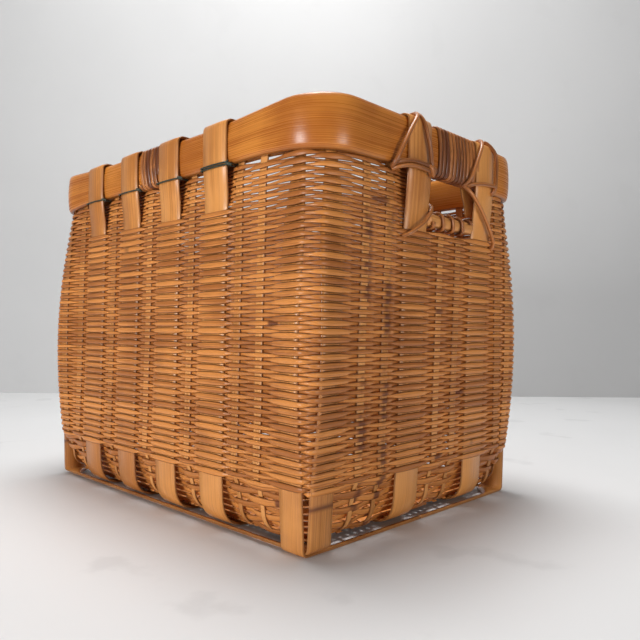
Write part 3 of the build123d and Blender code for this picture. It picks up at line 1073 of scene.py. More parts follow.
@dataclass
class Strip:
    """One weaver's template: stations round the basket that every row repeats."""

    levels: Levels
    spots: list[Spot] = field(default_factory=list)

    def template(self, name: str, closed: bool) -> bpy.types.Object:
        """Makes the template a mesh that carries its numbers.

        Args:
            name: the object's name.
            closed: whether the strip goes all the way round.

        Returns:
            The object.
        """
        vectors = {key: [] for key in RowTree.places + RowTree.ways}
        numbers = {key: [] for key in RowTree.numbers}
        places, run, last = [], 0.0, self.spots[0].points[1]
        for spot in self.spots:
            middle, way = spot.points[1], spot.ways[1]
            run += (middle - last).length
            last = middle
            for a, o in ROW_PROFILE:
                places.append(tuple(middle + UP * (a * 0.002) + way.cross(UP) * (o * 0.001)))
                for values, value in zip(vectors.values(), spot.points + spot.ways):
                    values += list(value)
                given = (spot.phase, spot.swell, spot.loose, run, a, o)
                for values, value in zip(numbers.values(), given):
                    values.append(value)
        mesh = bpy.data.meshes.new(name)
        faces = tube(0, len(ROW_PROFILE), len(self.spots), closed)
        mesh.from_pydata(places, [], faces)
        for key, values in vectors.items():
            attribute = mesh.attributes.new(key, "FLOAT_VECTOR", "POINT")
            attribute.data.foreach_set("vector", values)
        for key, values in numbers.items():
            mesh.attributes.new(key, "FLOAT", "POINT").data.foreach_set("value", values)
        return show(name, mesh)


class RowTree(Graph):
    """Geometry nodes that repeat one strip in rows, over and under the uprights."""

    places = ("foot", "waist", "mouth")
    ways = ("foot_way", "waist_way", "mouth_way")
    numbers = ("phase", "swell", "loose", "run", "side", "deep")
    spent = places + ways + ("phase", "swell", "loose", "deep", "row")
    sizes = (
        "First Row", "Pitch", "Low Level", "High Level", "Over", "Under", "Height", "Thickness",
        "Exit Level", "Waver", "Seed",
    )
    slow_pace = 16.0
    quick_pace = 60.0
    quick_share = 0.6
    quick_lift = 0.00018
    height_change = 0.12

    def __init__(self) -> None:
        """Builds the tree."""
        super().__init__(bpy.data.node_groups.new("woven_rows", "GeometryNodeTree"))
        face = self.tree.interface
        inputs = [("Strip", "Geometry"), ("Rows", "Int")]
        inputs += [(name, "Float") for name in self.sizes] + [("Finish", "Material")]
        for name, kind in inputs:
            face.new_socket(name=name, in_out="INPUT", socket_type=f"NodeSocket{kind}")
        face.new_socket(name="Weave", in_out="OUTPUT", socket_type="NodeSocketGeometry")
        self.given = self.tree.nodes.new("NodeGroupInput").outputs
        self.build()

    def read(self, name: str, kind: str = "FLOAT") -> Socket:
        """Reads one of the strip's numbers or vectors."""
        node = self.add("GeometryNodeInputNamedAttribute", {"data_type": kind}, Name=name)
        return node.outputs["Attribute"]

    def store(
        self, geometry: Socket, name: str, value: Socket, kind: str, domain: str
    ) -> Socket:
        """Stores a number on the geometry.

        Args:
            geometry: what carries the number.
            name: the number's name.
            value: the number.
            kind: its type.
            domain: the part of the geometry that carries it.

        Returns:
            The geometry with the number.
        """
        node = self.add(
            "GeometryNodeStoreNamedAttribute", {"data_type": kind, "domain": domain},
            Geometry=geometry, Name=name, Value=value,
        )
        return node.outputs["Geometry"]

    def blend(self, names: tuple[str, ...], shares: list[Socket]) -> Socket:
        """Adds up three of the strip's vectors by their shares.

        Args:
            names: the vectors' names.
            shares: the share of each.

        Returns:
            The sum's socket.
        """
        first, second, third = (
            self.vector("SCALE", self.read(n, "FLOAT_VECTOR"), scale=s)
            for n, s in zip(names, shares)
        )
        return self.vector("ADD", self.vector("ADD", first, second), third)

    def waver(self, row: Socket, scale: float, shift: float) -> Socket:
        """A steady unevenness along each row, from about -1 to 1.

        Args:
            row: the row's number.
            scale: how quickly it changes along the row.
            shift: what sets it apart from another unevenness.

        Returns:
            The unevenness's socket.
        """
        seed = self.plus(self.times(row, 3.7), self.plus(self.given["Seed"], shift))
        node = self.add(
            "ShaderNodeTexNoise", {"noise_dimensions": "4D"},
            Vector=self.read("waist", "FLOAT_VECTOR"), W=seed, Scale=scale, Detail=1.0,
        )
        return self.times(self.minus(node.outputs["Fac"], 0.5), 2.0)

    def rows(self) -> Socket:
        """Repeats the strip, and numbers and tones each row.

        Returns:
            The rows, still all in the strip's place.
        """
        given = self.given
        one = self.add("GeometryNodeGeometryToInstance", Geometry=given["Strip"])
        many = self.add(
            "GeometryNodeDuplicateElements", {"domain": "INSTANCE"},
            Geometry=one.outputs[0], Amount=given["Rows"],
        )
        copies, index = many.outputs["Geometry"], many.outputs["Duplicate Index"]
        named = self.store(copies, "row", index, "INT", "INSTANCE")
        rows = self.add("GeometryNodeRealizeInstances", Geometry=named).outputs["Geometry"]
        chance = self.add(
            "ShaderNodeTexWhiteNoise", {"noise_dimensions": "1D"},
            W=self.plus(self.read("row", "INT"), given["Seed"]),
        )
        return self.store(rows, "tone", chance.outputs["Value"], "FLOAT", "POINT")

    def build(self) -> None:
        """Lays out the nodes from the strip to the finished weave."""
        given = self.given
        rows = self.rows()
        row = self.read("row", "INT")
        level = self.plus(given["First Row"], self.times(row, given["Pitch"]))
        slow = self.waver(row, self.slow_pace, 0.0)
        quick = self.waver(row, self.quick_pace, 11.0)
        uneven = self.plus(slow, self.times(quick, self.quick_share))
        height = self.plus(level, self.times(uneven, given["Waver"]))
        span = self.minus(given["High Level"], given["Low Level"])
        s = self.math("DIVIDE", self.minus(height, given["Low Level"]), span)
        twice, four = self.times(s, 2.0), self.times(s, 4.0)
        shares = [
            self.times(self.minus(twice, 1.0), self.minus(s, 1.0)),
            self.times(four, self.minus(1.0, s)),
            self.times(s, self.minus(twice, 1.0)),
        ]
        slopes = [
            self.minus(four, 3.0), self.minus(4.0, self.times(s, 8.0)), self.minus(four, 1.0)
        ]
        middle = self.blend(self.places, shares)
        rise = self.vector("NORMALIZE", self.blend(self.places, slopes))
        way = self.vector("NORMALIZE", self.blend(self.ways, shares))
        out = self.vector("NORMALIZE", self.vector("CROSS_PRODUCT", way, rise))
        side = self.over(row, level)
        half_sum = self.times(self.plus(given["Over"], given["Under"]), 0.5)
        half_gap = self.times(self.minus(given["Over"], given["Under"]), 0.5)
        ripple = self.times(quick, self.quick_lift)
        lift = self.plus(half_sum, self.times(side, half_gap), ripple)
        taller = self.times(self.math("MAXIMUM", side, 0.0), self.read("swell"))
        tall = self.plus(given["Height"], taller)
        tall = self.times(tall, self.plus(1.0, self.times(slow, self.height_change)))
        upward = self.vector("SCALE", rise, scale=self.times(self.read("side"), tall, 0.5))
        outward = self.plus(lift, self.times(self.read("deep"), given["Thickness"]))
        outward = self.vector("SCALE", out, scale=outward)
        moved = self.vector("ADD", self.vector("ADD", middle, upward), outward)
        placed = self.add("GeometryNodeSetPosition", Geometry=rows, Position=moved)
        soft = self.add("GeometryNodeSetShadeSmooth", Geometry=placed.outputs["Geometry"])
        whole = self.add("GeometryNodeRealizeInstances", Geometry=soft.outputs["Geometry"])
        woven = self.add(
            "GeometryNodeSetMaterial", Geometry=whole.outputs["Geometry"], Material=given["Finish"]
        )
        output = self.tree.nodes.new("NodeGroupOutput").inputs[0]
        self.tree.links.new(woven.outputs["Geometry"], output)

    def over(self, row: Socket, level: Socket) -> Socket:
        """Where a row passes over, from -1 under to 1 over.

        Args:
            row: the row's number.
            level: its height.

        Returns:
            The side that it is on.
        """
        turn = self.minus(1.0, self.times(self.math("MODULO", row, 2.0), 2.0))
        side = self.times(turn, self.read("phase"))
        loose, leave = self.read("loose"), self.given["Exit Level"]
        always = self.math("MAXIMUM", self.minus(loose, 1.0), 0.0)
        free = self.times(loose, self.ease(level, self.minus(leave, 0.001), leave))
        free = self.math("MINIMUM", self.plus(free, always), 1.0)
        return self.minus(self.times(side, self.minus(1.0, free)), free)

    def weave(self, template: bpy.types.Object, **values: object) -> bpy.types.Mesh:
        """Runs the tree on a template.

        Args:
            template: the strip, which is removed afterwards.
            values: the tree's inputs by name, with underscores for spaces.

        Returns:
            The woven mesh.
        """
        modifier = template.modifiers.new("weave", "NODES")
        modifier.node_group = self.tree
        for item in self.tree.interface.items_tree:
            name = item.name.replace(" ", "_")
            if item.in_out == "INPUT" and name in values:
                modifier[item.identifier] = values[name]
        bpy.context.view_layer.update()
        graph = bpy.context.evaluated_depsgraph_get()
        mesh = bpy.data.meshes.new_from_object(template.evaluated_get(graph))
        template.modifiers.remove(modifier)
        bare = template.data
        bpy.data.objects.remove(template)
        bpy.data.meshes.remove(bare)
        for name in self.spent:
            if name in mesh.attributes:
                mesh.attributes.remove(mesh.attributes[name])
        return mesh


@dataclass
class Weave:
    """The woven walls, tray and floor."""

    wall: Wall
    columns: list[Column]
    tree: RowTree
    finish: bpy.types.Material
    row_pitch: float = 0.00362
    row_height: float = 0.0034
    first_row: float = 0.0555
    bands: int = 4
    closed_rows: int = 67
    all_rows: int = 82
    over: float = 0.00095
    under: float = -0.00255
    thickness: float = 0.0013
    exit_level: float = 0.3165
    waver: float = 0.00032
    crown: float = 0.35
    gap_steps: int = 7
    gap_swell: float = 0.65
    end_zone: float = 0.008
    notch: tuple[float, float] = (-0.0220, 0.0780)
    notch_straps: tuple[float, float] = (-0.058, 0.113)
    tray_levels: Levels = (0.008, 0.035, 0.062)
    tray_rows: int = 7
    tray_pitch: float = 0.0073
    tray_first_row: float = 0.0085
    tray_height: float = 0.0068
    tray_over: float = 0.0007
    tray_under: float = -0.0022
    tray_waver: float = 0.0005
    floor_reach: tuple[float, float] = (0.2155, 0.1515)
    floor_pitch: float = 0.0098
    floor_level: float = 0.0072
    floor_height: float = 0.0088
    floor_thickness: float = 0.0012
    floor_over: float = 0.00095
    floor_waver: float = 0.0002
    floor_square: float = 1.3
    no_exit: float = 9.0

    def swell(self, kind: Kind) -> float:
        """How much taller a weaver is over an upright of a kind."""
        return {Kind.STRAP: 0.0033, Kind.EDGE: 0.0029, Kind.STAKE: 0.0017}[kind]

    def loose(self, kind: Kind, tray: bool) -> float:
        """Whether the rows above the exit level, or all rows of the tray, stay under a kind."""
        return 1.0 if kind is Kind.STRAP or (tray and kind is Kind.EDGE) else 0.0

    def edges(self, column: Column, part: float, tray: bool) -> list[float]:
        """Places on a column at the three levels, from its left edge at -1 to its right at 1.

        Args:
            column: the column.
            part: how far across it the places are.
            tray: whether they are for the tray, where the foot's place holds at every level.

        Returns:
            The three places.
        """
        wide = column.kind.value
        narrow = Kind.STAKE.value if column.kind is Kind.EDGE else wide
        places = [
            column.at(share) + part * half
            for share, half in zip((0, 0.5, 1), (wide, wide, narrow))
        ]
        return places[:1] * 3 if tray else places

    def strip(self, tray: bool) -> Strip:
        """The template of a row of the walls or of the tray.

        Args:
            tray: whether it is the tray's.

        Returns:
            The template's stations.
        """
        wall = self.wall
        levels = self.tray_levels if tray else (wall.low, wall.waist, wall.high)
        lengths = [wall.quarter(level, 0.0, tray)[-1][1] for level in levels]
        strip = Strip(levels)

        def lay(side: Side, places: list[float], phase: float, swell: float, loose: float) -> None:
            """Adds a station, on the next wall where a place lies past the corner's quarter.

            Args:
                side: the wall that the places are counted on.
                places: the places at the three levels.
                phase: which rows pass over there.
                swell: how much taller such a row is.
                loose: whether rows stay under there.
            """
            found = []
            for place, level, length in zip(places, levels, lengths):
                where = side
                if place > length:
                    place, where = place - length, Side((side.value + 1) % 4)
                found.append(wall.spot(where, place, level, 0.0, tray))
            points, ways = (list(values) for values in zip(*found))
            strip.spots.append(Spot(points, ways, phase, swell, loose))

        for number, column in enumerate(self.columns):
            after = self.columns[(number + 1) % len(self.columns)]
            phase = 1 if number % 2 == 0 else -1
            swell, next_swell = self.swell(column.kind), self.swell(after.kind)
            loose, next_loose = self.loose(column.kind, tray), self.loose(after.kind, tray)
            for part in (-1, 0, 1) if column.kind is Kind.STAKE else (-1, -0.6, 0, 0.6, 1):
                taller = swell * (1 - self.crown * abs(part) ** 3)
                lay(column.side, self.edges(column, part, tray), phase, taller, loose)
            corners = (after.side.value - column.side.value) % 4
            begin, end = self.edges(column, 1, tray), self.edges(after, -1, tray)
            for step in range(1, self.gap_steps + 1):
                t = step / (self.gap_steps + 1)
                places = [
                    b + (e + length * corners - b) * t for b, e, length in zip(begin, end, lengths)
                ]
                swing = phase * math.cos(math.pi * t)
                taller = (swell if t < 0.5 else next_swell) * self.gap_swell
                share = loose * (1 - t) + next_loose * t if loose != next_loose else loose
                lay(column.side, places, swing, taller, share)
        return strip

    def arc(self, strip: Strip, near: bool, flip: bool) -> Strip:
        """The part of a strip on one side of the grip openings.

        Args:
            strip: the whole strip, in order from the near wall's left end.
            near: whether it is the near part or the far one.
            flip: whether the first of its rows is an odd one.

        Returns:
            The part, from one end's opening round to the other's. Its rows stay under the straps
            at the openings.
        """
        spots = strip.spots
        if near:
            low = self.notch[0]
            first = next(
                i for i, s in enumerate(spots)
                if s.points[2].x < 0 and s.points[2].y < low <= spots[i - 1].points[2].y
            )
            spots = spots[first:] + spots[:first]
        part = Strip(strip.levels)
        for spot in spots:
            mouth = spot.points[2]
            if mouth.y < self.notch[0] if near else mouth.y > self.notch[1]:
                at_end = abs(mouth.x) > self.wall.mouth_half[0] - self.end_zone
                at_strap = self.notch_straps[0] < mouth.y < self.notch_straps[1]
                loose = 2.0 if at_end and at_strap and spot.loose > 0.5 else spot.loose
                phase = -spot.phase if flip else spot.phase
                part.spots.append(replace(spot, phase=phase, loose=loose))
        return part

    def build(self) -> None:
        """Weaves the walls in bands, then the tray and the floor."""
        whole = self.strip(False)
        sizes = dict(
            Pitch=self.row_pitch, Low_Level=self.wall.low, High_Level=self.wall.high,
            Over=self.over, Under=self.under, Height=self.row_height, Thickness=self.thickness,
            Exit_Level=self.exit_level, Waver=self.waver, Finish=self.finish,
        )
        start = 0
        for band in range(self.bands):
            rows = (self.closed_rows - start) // (self.bands - band)
            rows -= rows % 2
            if band == self.bands - 1:
                rows = self.closed_rows - start
            template = whole.template(f"strip_{band}", True)
            first = self.first_row + start * self.row_pitch
            mesh = self.tree.weave(
                template, Rows=rows, First_Row=first, Seed=17.0 * band + 3, **sizes
            )
            settle(f"wall_weave_{band + 1}", mesh, "weave", ("side_weave",))
            start += rows
        for name, near, seed in (("near", True, 97.0), ("far", False, 90.0)):
            template = self.arc(whole, near, start % 2 == 1).template(f"strip_{name}", False)
            first = self.first_row + start * self.row_pitch
            mesh = self.tree.weave(
                template, Rows=self.all_rows - start, First_Row=first, Seed=seed, **sizes
            )
            settle(f"wall_weave_top_{name}", mesh, "weave", ("side_weave",))
        sizes.update(
            Pitch=self.tray_pitch, Low_Level=self.tray_levels[0], High_Level=self.tray_levels[2],
            Height=self.tray_height, Over=self.tray_over, Under=self.tray_under,
            Exit_Level=0.0, Waver=self.tray_waver,
        )
        template = self.strip(True).template("strip_tray", True)
        mesh = self.tree.weave(
            template, Rows=self.tray_rows, First_Row=self.tray_first_row, Seed=41.0, **sizes
        )
        settle("tray_weave", mesh, "weave", ("base_mat",))
        self.floor()

    def floor(self) -> None:
        """Weaves the flat floor from strips in both directions."""
        pitch = self.floor_pitch
        reach_x, reach_y = self.floor_reach
        rows_along, rows_across = (2 * int(reach / pitch) + 1 for reach in (reach_y, reach_x))
        x, y = Vector((1, 0, 0)), Vector((0, 1, 0))
        for name, along, across, reach, width, rows, crossings, sign in (
            ("along", x, y, reach_x, reach_y, rows_along, rows_across, 1),
            ("across", -y, x, reach_y, reach_x, rows_across, rows_along, -1),
        ):
            strip = Strip((-width, 0.0, width))
            first = -(crossings - 1) / 2 * pitch
            cuts = [first + i * pitch / 3 for i in range(3 * (crossings - 1) + 1)]
            for cut in [-reach] + cuts + [reach]:
                place = along * cut + UP * self.floor_level
                swing = math.cos(math.pi * (cut - first) / pitch) * sign
                phase = max(-1.0, min(1.0, swing * self.floor_square))
                points = [place + across * w for w in strip.levels]
                strip.spots.append(Spot(points, [along] * 3, phase, 0.0, 0.0))
            mesh = self.tree.weave(
                strip.template(f"strip_floor_{name}", False), Rows=rows, Seed=61.0 + sign,
                First_Row=-(rows - 1) / 2 * pitch, Pitch=pitch, Low_Level=-width,
                High_Level=width, Height=self.floor_height, Thickness=self.floor_thickness,
                Over=self.floor_over, Under=-self.floor_over, Exit_Level=self.no_exit,
                Waver=self.floor_waver, Finish=self.finish,
            )
            settle(f"floor_weave_{name}", mesh, "weave", ("base_mat",))


@dataclass
class Stakes:
    """The narrow uprights, from the tray up between the rim bands."""

    wall: Wall
    columns: list[Column]
    finish: bpy.types.Material
    width: float = 0.0105
    tray_width: float = 0.0060
    thickness: float = 0.0018
    skin: float = -0.0008
    bottom: float = 0.009
    top: float = 0.390
    tray_top: float = 0.0605
    grip_half: float = 0.05
    grip_top: float = 0.299
    rim_tuck: float = 0.0020
    rim_tuck_levels: tuple[float, float] = (0.335, 0.354)
    step_out_levels: tuple[float, float] = (0.045, 0.061)
    widen_levels: tuple[float, float] = (0.050, 0.075)
    waver: float = 0.0007
    bend_top: float = 0.03
    bend_step: float = 0.0035
    step: float = 0.006

    def stations(self, column: Column) -> list[Station]:
        """Cross-sections of one stake from the tray to the rim.

        Args:
            column: where it stands.

        Returns:
            The stations.
        """
        places = (column.foot, column.at(0.5), column.mouth)
        z, stations = self.bottom, []
        while z <= self.top:
            tuck = self.rim_tuck * smooth(z, *self.rim_tuck_levels)
            if z < self.tray_top:
                out = self.skin + self.wall.tray_step * smooth(z, *self.step_out_levels)
                p, way = self.wall.spot(column.side, column.foot, z, out, True)
            else:
                level = min(z, self.wall.high)
                p, way = self.wall.woven(column.side, places, level, self.skin - tuck)
            p.z = z
            seed = Vector((column.foot * 40, column.side.value * 3.0, z * 12))
            p = p + way * (self.waver * noise.noise(seed))
            width = between(self.tray_width, self.width, smooth(z, *self.widen_levels))
            stations.append(Station(p, way, way.cross(UP), width, self.thickness))
            z += self.bend_step if z < self.bend_top else self.step
        return stations

    def build(self) -> None:
        """Makes the stakes of each wall one piece, cut short under the grip openings."""
        for side in Side:
            name = side.name.lower()
            stock = Stock(f"stakes_{name}")
            for number, column in enumerate(self.columns):
                if column.side is side and column.kind is Kind.STAKE:
                    stations = self.stations(column)
                    if side in (Side.LEFT, Side.RIGHT) and abs(column.foot) < self.grip_half:
                        stations = [s for s in stations if s.middle.z < self.grip_top]
                    stock.sweep(stations, STRAP_PROFILE, (number * 0.37) % 1)
            stock.piece(self.finish, "stake", f"stake_ends_{name}")


@dataclass
class Rim:
    """The two split-bamboo bands round the mouth."""

    wall: Wall
    finish: bpy.types.Material
    joint: float = -0.021
    joint_gap: float = 0.0012
    step: float = 0.006
    top: float = 0.3940
    top_rise: float = 0.0068
    bottom: float = 0.3542
    bottom_drop: float = 0.0036
    rise_range: tuple[float, float] = (0.22, 0.68)
    drop_range: tuple[float, float] = (0.40, 0.60)
    drop_end: tuple[float, float] = (0.68, 0.95)
    waver: float = 0.0007
    outer: Profile = (
        (1.0, 0.0006), (1.0, 0.0028), (0.94, 0.0050), (0.78, 0.0063), (0.4, 0.0072),
        (0.0, 0.0075), (-0.4, 0.0072), (-0.78, 0.0063), (-0.94, 0.0050), (-1.0, 0.0028),
        (-1.0, 0.0006), (-0.96, -0.0013), (0.96, -0.0013),
    )
    inner: Profile = (
        (1.0, -0.0062), (0.96, -0.0043), (-0.96, -0.0043), (-1.0, -0.0062), (-0.95, -0.0078),
        (-0.6, -0.0090), (0.0, -0.0095), (0.6, -0.0090), (0.95, -0.0078),
    )

    def levels(self, share: float) -> tuple[float, float]:
        """The band's top and bottom at a share of a quarter, from long side's to end's middle.

        Args:
            share: how far along the quarter it is.

        Returns:
            The top and the bottom.
        """
        peak = smooth(share, *self.drop_range) * (1 - smooth(share, *self.drop_end))
        top = self.top + self.top_rise * smooth(share, *self.rise_range)
        return top, self.bottom - self.bottom_drop * peak

    def band(self, name: str, profile: Profile, start_side: Side, tone: float) -> None:
        """Makes one band, open at its joint.

        Args:
            name: which band it is.
            profile: points round its section, as shares of the half height and distances out.
            start_side: the long side that its joint is on.
            tone: a number from 0 to 1 that varies its colour.
        """
        total = self.wall.quarter(self.wall.high)[-1][1]
        joint = self.joint if start_side is Side.FRONT else -self.joint
        place, end = joint + self.joint_gap / 2, joint - self.joint_gap / 2 + 4 * total
        stock, count = Stock(f"rim_band_{name}"), len(profile)
        steps = math.ceil((end - place) / self.step)
        for i in range(steps + 1):
            here = place + (end - place) * i / steps
            turned = (start_side.value * total + here) % (4 * total)
            quarter = int(turned // total)
            rest = turned - quarter * total
            share = rest / total if quarter % 2 == 0 else 1 - rest / total
            point, way = self.wall.spot(Side(quarter), rest, self.wall.high)
            out = way.cross(UP)
            top, bottom = self.levels(share)
            wave = self.waver * noise.noise(Vector((point.x * 7, point.y * 7, 4.0)))
            middle, half = (top + bottom) / 2 + wave, (top - bottom) / 2
            for a, o in profile:
                spot = Vector((point.x, point.y, middle + a * half)) + out * o
                stock.point(spot, here, a, tone, 0.0)
            if i:
                base = (i - 1) * count
                for j in range(count):
                    k = (j + 1) % count
                    face = (base + k, base + count + k, base + count + j, base + j)
                    stock.faces.append(face)
        last = steps * count
        stock.faces += [tuple(range(count))[::-1], tuple(range(last, last + count))]
        stock.piece(self.finish, "rim_bamboo", f"rim_{name}_band")

    def build(self) -> None:
        """Makes both bands."""
        self.band("outer", self.outer, Side.FRONT, 0.4)
        self.band("inner", self.inner, Side.BACK, 0.8)


@dataclass(frozen=True)
class Winding:
    """One unbroken length of split cane, wound round a bar.

    Each turn is wide by high inside, with rounded corners, and its two upright faces bulge out by
    the dome. The seed varies its colour and spacing.
    """

    middle: Place
    along: Place
    turns: int
    pitch: float
    wide: float
    high: float
    seed: float
    dome: float = 0.0016
    bend: float = 0.0045
    width: float = 0.0059
    thickness: float = 0.0024
    longest_gap: float = 0.012
    jitter: float = 0.0004
    tone_spread: float = 0.9

    def section(self) -> list[tuple[Vector, Vector]]:
        """Points and outward directions round a turn, from the outer face's middle down.

        Returns:
            The points and directions.
        """
        spots = []
        for x, z, first in (
            (1, -1, 0.0), (-1, -1, -math.pi / 2), (-1, 1, math.pi), (1, 1, math.pi / 2)
        ):
            centre = Vector((
                x * (self.wide / 2 - self.bend - self.dome), 0, z * (self.high / 2 - self.bend)
            ))
            for i in range(6):
                angle = first - i * math.pi / 10
                way = Vector((math.cos(angle), 0, math.sin(angle)))
                spots.append((centre + way * self.bend, way))
        whole = []
        for (p, way), (following, _) in zip(spots, spots[1:] + spots[:1]):
            whole.append((p, way))
            if (following - p).length > self.longest_gap:
                for i in range(1, 6):
                    t = i / 6
                    bulge = math.sin(math.pi * t) * self.dome if abs(way.x) > 0.9 else 0.0
                    whole.append((p.lerp(following, t) + way * bulge, way))
        return whole

    def wind(self, stock: Stock) -> None:
        """Adds the winding to a piece.

        Args:
            stock: the piece.
        """
        middle, along = Vector(self.middle), Vector(self.along)
        across = UP.cross(along) * -1
        section = self.section()
        stations, tones = [], []
        for turn in range(self.turns):
            for i, (p, way) in enumerate(section):
                share = turn + i / len(section)
                jitter = self.jitter * noise.noise(Vector((share * 1.7, self.seed, 0.5)))
                tone = noise.noise(Vector((share * 1.1, self.seed, 3.3)))
                tones.append(0.5 + self.tone_spread * tone)
                wide = 0.97 + 0.05 * noise.noise(Vector((share, self.seed, 9.0)))
                place = middle + along * (share * self.pitch + jitter) + across * p.x + UP * p.z
                out = across * way.x + UP * way.z
                place += out * (self.thickness / 2)
                stations.append(Station(place, along, out, self.width * wide, self.thickness))
        stock.sweep(stations, CANE_PROFILE, tones)


@dataclass
class Grips:
    """The bound grips, their sills and lashings at both ends, and the bound rim joint.

    The lashings' cords pass through points in millimetres at the right-hand end, which the left
    end mirrors.
    """

    cane: bpy.types.Material
    bar: bpy.types.Material
    wire: bpy.types.Material
    grip: Winding = Winding(
        (0.2470, -0.01075, RIM_MIDDLE), (0, 1, 0), turns=12, pitch=0.006458, wide=0.0176,
        high=0.0476, seed=0.3,
    )
    sill: Winding = Winding(
        (0.24375, -0.0085, SILL_LEVEL), (0, 1, 0), turns=4, pitch=0.0183, wide=0.0126,
        high=0.0146, seed=5.6, dome=0.0,
    )
    joint: Winding = Winding(
        (-0.0318, -0.1680, 0.3741), (1, 0, 0), turns=6, pitch=0.0066, wide=0.0176, high=0.0416,
        seed=0.8,
    )
    sill_out: float = 0.24355
    sill_size: tuple[float, float] = (0.014, 0.012)
    sill_from: float = -0.0137
    sill_length: float = 0.0834
    sill_stations: int = 15
    sill_knot: float = 0.046
    sill_knot_size: float = 0.002
    sill_knot_width: float = 0.0004
    cord_radius: float = 0.0021
    wire_radius: float = 0.00085
    wire_level: float = 0.3518
    wire_half: float = 0.0202
    wire_rise: float = 0.0024
    twist_radius: float = 0.0008
    twist_step: float = 0.0009
    near: tuple = (
        (
            (235.5, -40, 352), (235.6, -40, 397), (239.5, -40, 405.6), (252, -42, 406.6),
            (259.6, -50, 399.5), (261.8, -63, 384), (261.6, -74.5, 366), (258.5, -80.5, 353),
            (252, -80, 347),
        ),
        (
            (251, -79, 349), (258.5, -76, 352.2), (261.9, -62, 355.4), (262.3, -46, 356),
            (261.8, -31, 354.6), (259, -26, 351),
        ),
        (
            (251, -78, 346), (258.5, -74, 348.2), (261.8, -62, 350.8), (262, -46, 351.4),
            (261.6, -32, 350.6), (258.5, -25, 347),
        ),
        (
            (235.5, -34, 352), (235.6, -34, 397), (239.5, -34, 405.6), (252, -38.5, 406.6),
            (260, -38, 397), (261.9, -35, 385), (261.9, -30, 371), (261.9, -28, 357),
            (260, -27, 350),
        ),
        (
            (262.6, -34, 356), (264.3, -31, 352), (263, -27.5, 347.5), (259.6, -28, 350),
            (262.8, -32.5, 354.2), (264, -27, 353), (260.5, -24.5, 346),
        ),
        (
            (241, -8, 326), (250.6, -11.5, 318), (254.2, -26, 304.6), (254.2, -38, 296.5),
            (250.6, -49, 289), (244, -54, 286),
        ),
    )
    far: tuple = (
        (
            (235.5, 84, 352), (235.6, 84, 397), (239.5, 84, 405.6), (252, 80, 406.6),
            (260, 70, 397), (261.8, 59, 380), (260, 48, 359), (252, 45, 350),
        ),
        (
            (250, 46, 349.5), (258.5, 54, 352.5), (261.9, 68, 355), (262.2, 84, 356),
            (261.6, 97, 356.6), (256, 105, 355),
        ),
        (
            (235.5, 90, 352), (235.6, 90, 397), (239.5, 90, 405.6), (252, 90, 406.6),
            (259.8, 96, 397), (261.6, 99, 386), (261.6, 98.5, 370), (261.4, 96.5, 354),
            (256, 96, 347),
        ),
        (
            (246, 44, 354), (256, 50, 346), (259, 64, 333), (256.5, 84, 319.5),
            (253.2, 102, 305.5), (251.6, 110, 295), (246, 113, 288),
        ),
    )

    def windings(self) -> None:
        """Binds the rim at both grips and at the joint, and both sills."""
        for side, sign in ENDS:
            for name, right in (("grip", self.grip), ("sill", self.sill)):
                x, y, z = right.middle
                stock = Stock(f"{name}_cane_{side}")
                replace(right, middle=(sign * x, y, z), seed=right.seed + sign).wind(stock)
                stock.piece(self.cane, "rattan", f"{name}_winding_{side}")
            self.sill_bar(side, sign)
        stock = Stock("rim_joint_cane")
        self.joint.wind(stock)
        stock.piece(self.cane, "rattan", "rim_joint_winding")

    def sill_bar(self, side: str, sign: int) -> None:
        """Makes the round bar under one grip opening, with a node ring.

        Args:
            side: the end's name.
            sign: 1 at the right-hand end and -1 at the left-hand one.
        """
        stations = []
        for i in range(self.sill_stations):
            y = self.sill_from + self.sill_length * i / (self.sill_stations - 1)
            ring = math.exp(-(((y - self.sill_knot) / self.sill_knot_size) ** 2))
            middle, out = Vector((sign * self.sill_out, y, SILL_LEVEL)), Vector((1, 0, 0))
            width, thickness = self.sill_size
            width += self.sill_knot_width * ring
            stations.append(Station(middle, UP, out, width, thickness, ring))
        stock = Stock(f"sill_bar_{side}_round")
        stock.sweep(stations, oval(16), 0.6)
        stock.piece(self.bar, "stake", f"sill_bar_{side}")

    def lashings(self) -> None:
        """Ties the straps at both grips with cord."""
        for side, sign in ENDS:
            for label, cords in (("near", self.near), ("far", self.far)):
                stock = Stock(f"lashing_{side}_{label}")
                for number, points in enumerate(cords):
                    line = [Vector((sign * x, y, z)) / 1000 for x, y, z in points]
                    tone = 0.55 + 0.08 * number
                    stock.sweep(strand(line, self.cord_radius), ROUND_PROFILE, tone)
                stock.piece(self.cane, "rattan", f"grip_lashing_{side}_{label}")

    def wires(self) -> None:
        """Ties the looped cross straps with wire under the rim, the rightmost one twice."""
        for name, sign in (("front", -1), ("back", 1)):
            stock = Stock(f"strap_wires_{name}")
            for number, place in enumerate(CROSS_AT):
                place += LEANS[1]
                for loop in range(2 if number == 3 else 1):
                    level = self.wire_level + self.wire_rise * loop
                    line = self.wire_loop(place, sign, level)
                    stock.sweep(strand(line, self.wire_radius, 4), ROUND_PROFILE, 0.5)
                for half_turn in (0.0, math.pi):
                    line = self.wire_twist(place, sign, half_turn)
                    stock.sweep(strand(line, self.twist_radius, 3), ROUND_PROFILE, 0.5)
            stock.piece(self.wire, "wire", f"wire_ties_{name}")

